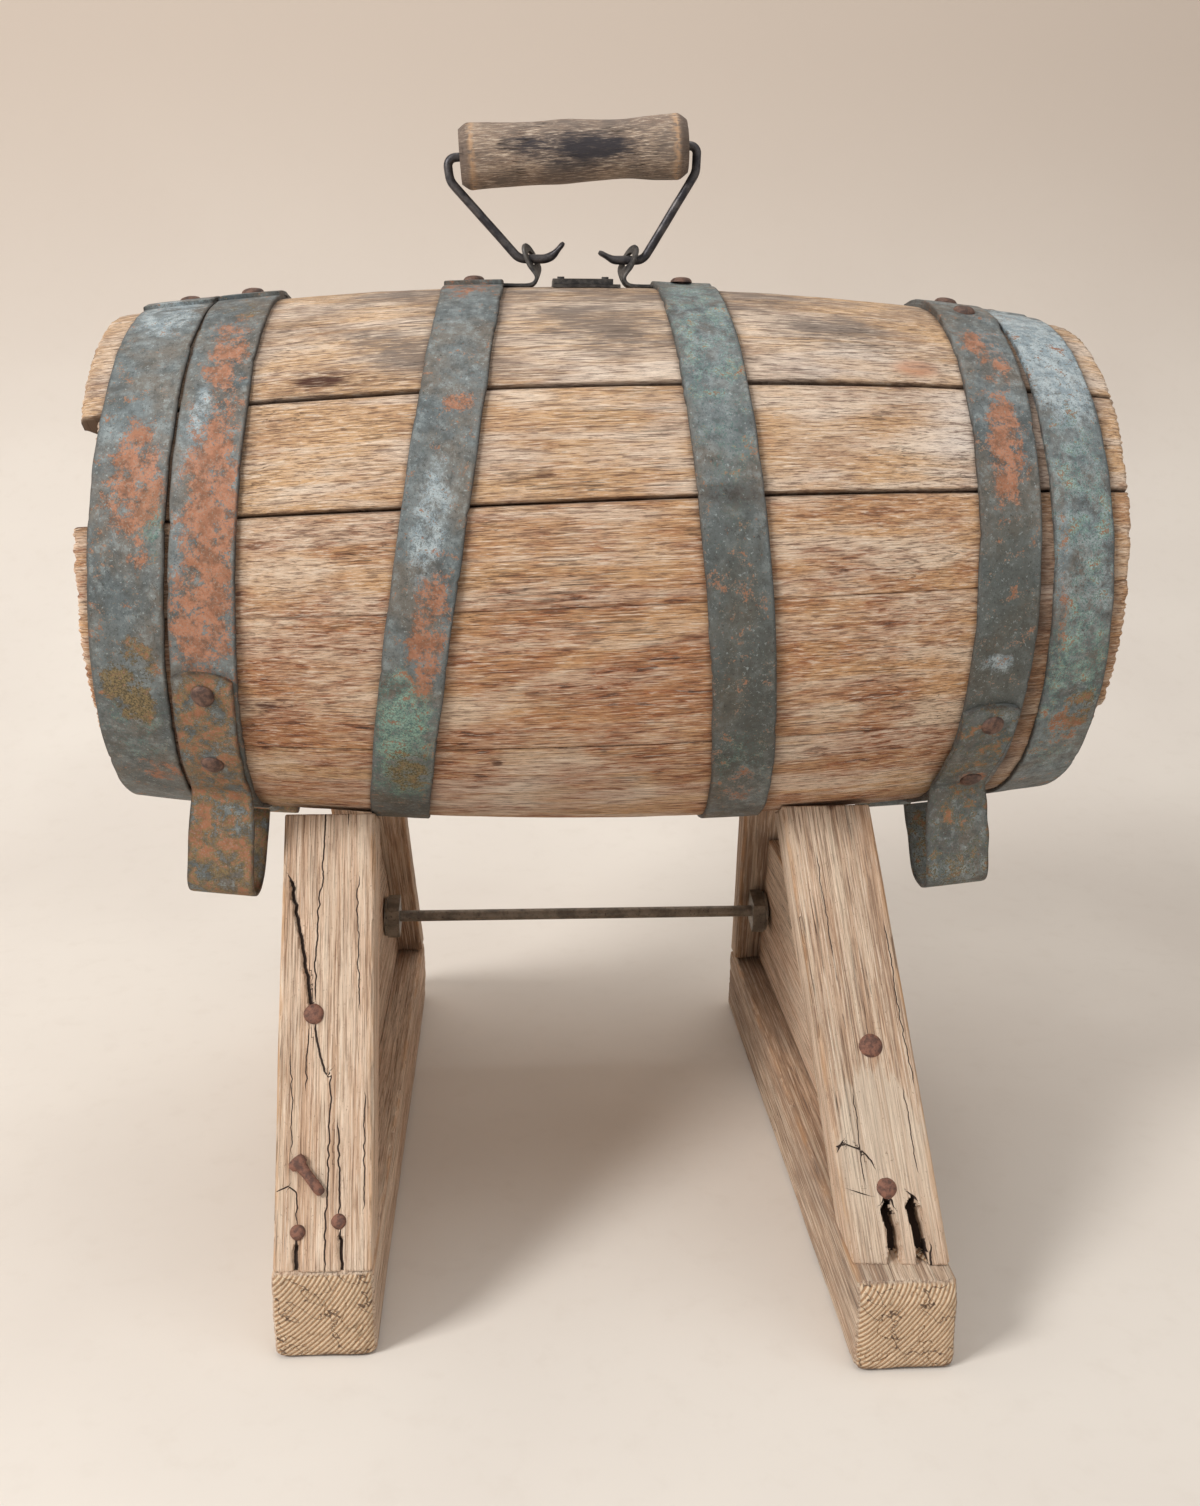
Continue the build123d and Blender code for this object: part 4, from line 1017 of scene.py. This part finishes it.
def timber(width, thick, ends, spot, seed, tone, cracks=(), crack_depth=2.5, pitch=1.1, row=1.6,
           corner=1.6, grey=0.3, stains=(), bare=None, pith=(0.0, 0.0), damp=None):
    """A sawn timber: ends(a, d) gives where it starts and stops, spot(a, d, t) its place in mm."""
    # Its outline across, with rounded corners, in steps of about the pitch
    half_a, half_d = width / 2, thick / 2
    corners = []
    for quarter, (sign_a, sign_d) in enumerate(((1, 1), (-1, 1), (-1, -1), (1, -1))):
        for t in (quarter + np.linspace(0, 1, 6)) * math.pi / 2:
            corners.append((sign_a * (half_a - corner) + corner * math.cos(t),
                            sign_d * (half_d - corner) + corner * math.sin(t)))
    corners = np.array(corners + corners[:1])
    outline = [corners[:1]]
    for first, second in zip(corners, corners[1:]):
        parts = max(1, int(np.linalg.norm(second - first) / pitch))
        outline.append(first + (second - first) * np.linspace(0, 1, parts + 1)[1:, None])
    outline = np.concatenate(outline)[:-1]
    around = np.roll(outline, -1, 0) - np.roll(outline, 1, 0)
    out = np.stack([around[:, 1], -around[:, 0]], -1)
    out /= np.linalg.norm(out, axis=1)[:, None]
    a, d = outline[:, 0], outline[:, 1]
    low, high = ends(a, d)
    rows = int(np.max(high - low) / row)
    share = np.array([0, 0.3 / rows, 0.7 / rows])
    share = np.concatenate([share, np.linspace(0, 1, rows)[1:-1], 1 - share[::-1]])[:, None]
    t = low + (high - low) * share
    # Raised grain, chipped corners, cracks and worn ends
    relief = layered((0.22, t * 0.012, a * 0.8, d * 0.8, seed),
                     (0.12, t * 0.05, a * 1.6, d * 1.6, seed + 1),
                     (0.45, t * 0.01, a * 0.06, d * 0.06, seed + 2)) - 0.4
    front = np.clip((out[:, 1] - 0.8) / 0.15, 0, 1) * (d > 0)
    sway = layered((0.45, t * 0.10, 0, seed + 5), (0.45, t * 0.34, 0, seed + 7),
                   (0.15, t * 1.1, 0, seed + 8))
    signed, plain, gap_width = near_lines(a + 0 * t + sway, t, cracks)
    close = np.clip(1.35 - plain / np.maximum(gap_width, 0.1), 0, 1) * front * (gap_width > 0.75)
    gap = np.stack([signed, plain + 9 * (1 - front), gap_width], -1)
    on_corner = np.minimum(np.abs(out[:, 0]), np.abs(out[:, 1])) > 0.15
    chip = on_corner * 0.9 * step(lumps(t * 0.11, a * 0.1, d * 0.1, seed=seed + 3), 0.25, 0.8)
    end_far = np.clip(1 - np.minimum(t - low, high - t) / 1.2, 0, 1)
    worn = 0.7 * (1 - np.sqrt(np.clip(1 - end_far**2, 0, 1)))
    depth = relief - crack_depth * np.minimum(1, close * 2.2) - chip - worn
    side_a, side_d = a + out[:, 0] * depth, d + out[:, 1] * depth
    grids = [(side_a, side_d, t, gap, 0 * t)]
    for row_at, outward in ((0, -1), (-1, 1)):
        shrink = np.linspace(0.98, 0.02, 48)[:, None]
        ring_a, ring_d = side_a[row_at] * shrink, side_d[row_at] * shrink
        radius = np.hypot(ring_a - pith[0], ring_d - pith[1])
        turn = np.arctan2(ring_d - pith[1], ring_a - pith[0])
        # Drying cracks run out from the pith and step across along the rings
        step_across = 0.8 * lumps(radius * 0.25, turn * 2, seed=seed + 5)
        dried = np.abs(lumps(turn * 9 + step_across, radius * 0.05, seed=seed + 6))
        rough = 0.18 * lumps(radius * 0.7, turn * 3, seed=seed + 9)
        rough = (rough + 0.7 * step(dried, 0.0, 0.06) - 0.9) * np.minimum(1, (1 - shrink) * 12)
        ring_t = ends(ring_a, ring_d)[row_at] + outward * rough
        shut = np.broadcast_to((9.0, 9.0, 0.0), ring_t.shape + (3,))
        cap = (ring_a, ring_d, ring_t, shut, 1 + 0 * ring_t)
        grids = grids + [cap] if row_at else [[part[::-1] for part in cap]] + grids
    a, d, t, gap, end = (np.concatenate([grid[k] for grid in grids]) for k in range(5))
    from_edges = (half_a - np.abs(a), half_d - np.abs(d))
    edge = np.hypot(*(np.minimum(far, 9) / 2.2 for far in from_edges))
    radius, turn = np.hypot(a - pith[0], d - pith[1]), np.arctan2(d - pith[1], a - pith[0])
    marks = {
        "grain": np.stack([t + seed * 97, a, d + seed * 31], -1), "gap": gap, "end": end,
        "tone": np.full(t.shape, tone), "grey": np.full(t.shape, grey), "edge": np.exp(-edge**2),
        "bare": bare(a, t) * (d > half_d - 1.5) if bare else 0 * t,
        "stain": blots(a, t, stains) * (d > half_d - 2),
        "rings": np.stack([radius, turn * 6, 0 * t], -1),
        "damp": damp(a, d, t) if damp else 0 * t,
    }
    marks = {key: value.reshape(t.size, -1) for key, value in marks.items()}
    return spot(a, d, t).reshape(-1, 3), wrap(*t.shape), marks


sill_width, sill_height, sill_half = 43.0, 41.0, 180.0
# The sills' distance from the middle, and how far one stands ahead of it and the other behind
sill_spread, stagger = 121.0, 10.0
# The legs lean in by 0.664 mm for each mm that they rise
leg_width, leg_slope = 42.0, 0.664
leg_thick = {"front": 26.0, "rear": 16.0}
# How far each leg's foot stands in from the sill's end
setback = {("left", "front"): 2.0, ("left", "rear"): 3.0, ("right", "front"): 15.0,
           ("right", "rear"): 3.0}
# The web's thickness and height, and the height of its middle above the sill
web_thickness, web_height, web_middle = 12.0, 104.4, 52.5
# What planing took off, and the play where a leg beds on its sill and against the keg
planed, bedding = 0.2, 0.15
# Each frame leans to the left, the right one more; its legs meet the keg this far up
meeting_height = 160.0
lean = {"left": math.radians(-1.2), "right": math.radians(-5.6)}
signs = {"left": -1, "right": 1}
fronts = {"front": -1, "rear": 1}
# The left legs also clear the edge of a hoop
saddle_extra = {"left": hoop_thickness, "right": 0.0}
# Cracks on the front faces, as ((across, mm above the sill) points, half width in mm)
leg_cracks = {
    ("left", "front"): [
        ([(-18.5, 141), (-16, 136), (-14, 128), (-12, 117), (-9.5, 107), (-8, 97), (-7, 90)], 0.9),
        ([(-5.2, 86), (-4, 79), (-1, 71), (0.5, 66)], 0.6), ([(0.5, 66), (3, 69)], 0.35),
        ([(-7.5, 84), (-8.5, 62)], 0.35),
        ([(-0.5, 189), (-2.5, 150), (-5.2, 112), (-5.3, 94)], 0.4),
        ([(10, 189), (8.5, 160)], 0.35), ([(2, 68), (1.5, 30), (1, 0)], 0.42),
        ([(5.5, 50), (6.4, 30), (7.0, 18)], 0.45), ([(7.6, 14), (8.4, -14)], 0.8),
        ([(-10.8, 11.5), (-11.4, -14)], 0.95),
        ([(-21, 27), (-15, 29), (-11.5, 27), (-10.5, 16)], 0.35),
        ([(16.5, 60), (17, 20)], 0.3), ([(13, 140), (14, 90)], 0.3), ([(-15, 75), (-14, 40)], 0.28),
        ([(-13, 189), (-12, 168)], 0.3)],
    ("right", "front"): [
        ([(-2.6, 23), (-1.6, 12), (-2.4, 4), (-3.4, -18)], 2.1),
        ([(9.0, 22), (9.4, 10), (11.4, -18)], 2.4),
        ([(-4.6, 21), (-2.6, 23), (-0.2, 22.4), (1.5, 19)], 0.6), ([(8.0, 24), (11.0, 21)], 0.9),
        ([(13, 6), (12.6, -4)], 0.6), ([(-21, 42), (-15, 42.5), (-9, 40), (-5, 36), (-4, 33)], 0.4),
        ([(-16, 44), (-19.5, 40)], 0.6), ([(-17, 27), (-8, 24)], 0.28),
        ([(17.5, 120), (18, 60)], 0.28), ([(-9, 60), (-9.5, 28)], 0.25),
        ([(13, 60), (14, 30)], 0.25), ([(4, 189), (4, 172)], 0.35), ([(-8, 150), (-8, 110)], 0.22)],
}
leg_stains = {
    ("left", "front"): [(-5.5, 89, 6, 8, 0.5), (-10, 14, 5, 6, 0.45), (7, 16, 4, 5, 0.4)],
    ("right", "front"): [(2, 76, 7, 6, 0.55), (-1, 26, 6, 6, 0.45), (2, 170, 4, 5, 0.9)],
}


def frame_spot(side, across, y, rise):
    """A place in one leaning frame: across its thickness, along Y, and up its slope."""
    turn = lean[side]
    x = signs[side] * sill_spread + across * math.cos(turn) + rise * math.sin(turn)
    z = sill_height - across * math.sin(turn) + rise * math.cos(turn)
    x, y, z = np.broadcast_arrays(x, y, z)
    return np.stack([x, y, z], -1)


def leg_face(side, end, rise, depth=0.0):
    """Y of a leg's outer face at a height above the sill, or of the plane at a depth inside it."""
    along = depth * math.hypot(1, leg_slope) + setback[side, end] + leg_slope * rise
    return fronts[end] * sill_half - signs[side] * stagger - fronts[end] * along


# The cracks and stains are given by heights above the sill; along the sloping face they are
# longer by the slope, and begin where the face meets the sill
leg_tones, leg_greys = (0.0, 0.8, 0.3, 0.9), (0.12, 0.5, 0.3, 0.6)
for number, (side, end) in enumerate((s, e) for s in signs for e in fronts):
    thick, sign, turn = leg_thick[end], fronts[end], lean[side]
    slant = math.hypot(1, leg_slope)
    run_y, run_z = -sign * leg_slope / slant, 1 / slant
    out_y, out_z = sign / slant, leg_slope / slant
    middle_y = leg_face(side, end, 0.0, thick / 2)
    inner_x = sill_spread + signs[side] * meeting_height * math.sin(turn)
    saddle = float(keg_radius(inner_x - leg_width / 2, saddle_extra[side] + 0.3)) + bedding
    shift = out_z * thick / 2
    is_front, splits_wide = end == "front", side == "right"

    def leg_spot(a, d, t):
        return frame_spot(side, a, middle_y + run_y * t + out_y * d, run_z * t + out_z * d)

    def leg_ends(a, d):
        low = (a * math.sin(turn) / math.cos(turn) - out_z * d) / run_z + bedding
        # The top end is cut to the round of the keg
        y0 = middle_y + out_y * d
        z0 = sill_height - AXIS - a * math.sin(turn) + out_z * d * math.cos(turn)
        vy, vz = run_y, run_z * math.cos(turn)
        qa, qb, qc = vy * vy + vz * vz, 2 * (y0 * vy + z0 * vz), y0**2 + z0**2 - saddle**2
        return low, (-qb - np.sqrt(qb * qb - 4 * qa * qc)) / (2 * qa) - bedding

    def bared(a, t):
        """Where the surface has flaked off above the right front foot, below a torn edge."""
        height = t * run_z + shift
        torn = 67 + 5 * lumps(a * 0.35, 0.0, seed=3) + 4 * lumps(a * 0.9, 0.0, seed=4)
        torn = torn - 0.05 * (a - 1) ** 2
        return 0.55 * (1 - step(height - torn, -2, 0.5)) * step(height, -20, 50)

    cracks = [([(a, (h - shift) / run_z) for a, h in line], half)
              for line, half in leg_cracks.get((side, end), [])]
    stains = [(a, (h - shift) / run_z, *rest) for a, h, *rest in leg_stains.get((side, end), [])]
    body = timber(
        leg_width - planed, thick - planed, leg_ends, leg_spot, 200 + number * 20,
        leg_tones[number], cracks, crack_depth=9.0 if splits_wide else 1.8,
        pitch=0.7 if is_front else 1.6, row=1.0 if is_front else 2.5, grey=leg_greys[number],
        stains=stains, bare=bared if is_front and splits_wide else None, pith=(-30, -24))
    piece(f"pine_{side}_{end}_leg", "stand", trestle_pine, [body],
          [f"{side}_{end}_leg"])

for number, side in enumerate(signs):
    def sill_spot(a, d, t):
        x, y, z = np.broadcast_arrays(signs[side] * sill_spread + a, t - signs[side] * stagger,
                                      sill_height / 2 + d)
        return np.stack([x, y, z], -1)

    def sill_ends(a, d):
        near = np.clip(1 - (sill_width / 2 - np.abs(a)) / 6, 0, 1) ** 2 * 2.4
        near = near + np.clip(1 - (sill_height / 2 - np.abs(d)) / 5, 0, 1) ** 2 * 1.8
        strip = np.clip(1 - (sill_height / 2 - d) / 8, 0, 1) * step(d, 8, 13)
        near = near + (0.5, 3.2)[number] * strip
        rough = 0.5 + 0.5 * lumps(a * 0.08, d * 0.08, seed=300 + number)
        return near + rough - sill_half, sill_half - near - rough

    def sill_damp(a, d, t):
        low_edge = np.clip(1 - (d + sill_height / 2) / 4.0, 0, 1)
        return 0.75 * step(low_edge + 0.35 * lumps(a * 0.2, t * 0.05, seed=8 + number), 0.35, 0.9)

    def web_spot(a, d, t):
        return frame_spot(side, a, t, web_middle + d)

    def web_ends(a, d):
        front, rear = (leg_face(side, end, web_middle + d, leg_thick[end]) for end in fronts)
        return front + 0.35, rear - 0.35

    body = timber(sill_width - planed, sill_height - planed, sill_ends, sill_spot,
                  300 + number * 20, (0.1, 0.7)[number], pitch=1.0, row=2.6, corner=2.4,
                  grey=(0.3, 0.6)[number], pith=((-70, 60), (-80, 66))[number], damp=sill_damp)
    piece(f"pine_{side}_sill", "stand", trestle_pine, [body], [f"{side}_sill"])
    body = timber(web_thickness - planed, web_height, web_ends, web_spot, 350 + number * 20,
                  (0.2, 0.1)[number], pitch=1.8, row=3.0, corner=1.2, grey=0.15, pith=(0, -60))
    piece(f"pine_{side}_web", "stand", trestle_pine, [body], [f"{side}_web"])


# Old rusted nails hold the legs to the sills and webs; one at the left foot was bent over
# and hammered flat instead of driven home.
nail_rust = material(
    "nail_rust", lambda tree: iron_finish(tree, srgb(138, 94, 76), srgb(92, 64, 54), 1.6, 0.5),
    relief=0.35, Metallic=0.1)
head_height, shank_length = 1.5, 3.0
# Heads as (mm across the leg, mm above the sill, radius)
nails = {
    ("left", "front"): [(-5.5, 89.0, 4.4), (-10.5, 13.5, 3.2), (6.5, 16.5, 3.2)],
    ("right", "front"): [(2.5, 76.0, 5.2), (-1.0, 26.0, 4.4)],
    ("left", "rear"): [(4.0, 84.0, 4.4), (-8.0, 20.0, 3.4)],
    ("right", "rear"): [(-3.0, 88.0, 4.4), (7.0, 18.0, 3.6)],
}
# The bent nail from its head to its point, as (mm along, half width, half thickness)
bent_nail = ((-4.6, 1.0, 0.7), (-4.2, 3.4, 1.4), (-2.6, 3.9, 1.6), (-0.4, 3.6, 1.5),
             (0.2, 2.4, 1.4), (4, 2.1, 1.5), (8, 2.2, 1.6), (12, 2.3, 1.5), (14.0, 1.9, 1.3),
             (14.8, 0.9, 0.6))
for (side, end), places in nails.items():
    sign, turn = fronts[end], lean[side]
    across = np.array((math.cos(turn), 0, -math.sin(turn)))
    rise = np.array((math.sin(turn), 0, math.cos(turn)))
    facing = unit(np.array((0, sign, 0)) + rise * leg_slope)
    heads = []
    for a, height, size in places:
        origin = frame_spot(side, a, leg_face(side, end, height), height).reshape(3)
        heads.append(stud(origin - facing * 0.5, across, facing, size, head_height,
                          500 + int(height), shank_length))
    if (side, end) == ("left", "front"):
        down = unit(np.array((0, sign, 0)) * leg_slope - rise)
        lay = unit(across * 0.62 + down * 0.78)
        beside = np.cross(facing, lay)
        start = frame_spot(side, -9.5, leg_face(side, end, 35.5), 35.5).reshape(3) + facing * 1.2
        turn = full_turn(16)
        rings = []
        for reach, half_w, half_h in bent_nail:
            wave = 1 + 0.08 * lumps(np.cos(turn) * 2, reach * 0.4, seed=77)
            rings.append(start + lay * reach + np.outer(half_w * wave * np.cos(turn), beside)
                         + np.outer(half_h * wave * np.sin(turn), facing))
        heads.append((np.concatenate(rings), wrap(len(rings), len(turn)), {}))
    piece(f"rusty_{side}_{end}_nails", "stand", nail_rust, heads,
          [f"{side}_{end}_nails"])


# A plain iron rod ties the two frames through their webs, with a washer and a square nut on
# each face of each web.
rod_iron = material(
    "rod_iron", lambda tree: iron_finish(tree, srgb(146, 136, 122), srgb(108, 100, 90), 0.4, 0.34),
    relief=0.12, Metallic=0.2)
dress(rod_iron, ("tie_rod", "tie_washers", "tie_nuts"))


# A seamless sheet of pale warm card, swept up behind the object, under a large soft light
# from the upper left, a weaker one from the right and one overhead.
# In metres: where the sweep starts behind the object, its radius, how far the card reaches to
# the front and to each side, and how high
sweep_start, sweep_radius = 0.30, 0.9
card_front, card_side, card_top = -2.6, 4.0, 3.2
sweep = [(card_front, 0.0), (sweep_start, 0.0)]
for turn in np.linspace(0, math.pi / 2, 13)[1:]:
    sweep.append((sweep_start + sweep_radius * math.sin(turn), sweep_radius * (1 - math.cos(turn))))
sweep.append((sweep_start + sweep_radius, card_top))
card = bpy.data.meshes.new("card")
card.from_pydata([(x, y, z) for y, z in sweep for x in (-card_side, card_side)], [],
                 [(2 * i, 2 * i + 1, 2 * i + 3, 2 * i + 2) for i in range(len(sweep) - 1)])
card.shade_smooth()


def card_finish(tree):
    spot = put(tree, "TexCoord").outputs["Object"]
    tint = blend(mask(noise(spot, 3.0, 3, 0.5), 0.3, 0.7), srgb(217, 209, 200), srgb(226, 219, 210))
    tint = wash(tint, noise(spot, 60.0, 4, 0.6), 0.5, 0.75, 0.10, srgb(196, 184, 170))
    # The card is painted darker up the wall as painted shade, and from behind it lets the object be
    # seen
    height = put(tree, "SeparateXYZ", spot).outputs[2]
    tint = blend(mask(height, 0.0, 0.85), tint, srgb(197, 183, 170))
    seen = minus(1.0, put(tree, "NewGeometry").outputs["Backfacing"])
    return {"Base Color": tint, "Roughness": 0.9, "Alpha": seen}


card.materials.append(material("pale_card", card_finish))
backdrop = bpy.data.objects.new("backdrop", card)
bpy.context.scene.collection.objects.link(backdrop)

# Each lamp's place, its size in metres and its watts
warm_white = (1.0, 0.985, 0.965)
lamps = {"key": ((-1.75, -1.15, 1.6), 0.7, 49), "fill": ((1.5, -1.2, 1.3), 1.6, 7.5),
         "above": ((0.1, 0.1, 2.1), 1.8, 14)}
for name, (place_at, size, watts) in lamps.items():
    lamp = bpy.data.lights.new(name, "AREA")
    lamp.size, lamp.energy = size, watts
    lamp.color = warm_white
    holder = bpy.data.objects.new(name, lamp)
    holder.location = place_at
    aim = Vector((0, 0, 0.25)) - Vector(place_at)
    holder.rotation_euler = aim.to_track_quat("-Z", "Y").to_euler()
    bpy.context.scene.collection.objects.link(holder)
world = bpy.data.worlds.new("studio")
bpy.context.scene.world = world
world.use_nodes = True
sky = world.node_tree.nodes["Background"].inputs
sky[0].default_value = (1.0, 0.985, 0.97, 1.0)
sky[1].default_value = 0.38
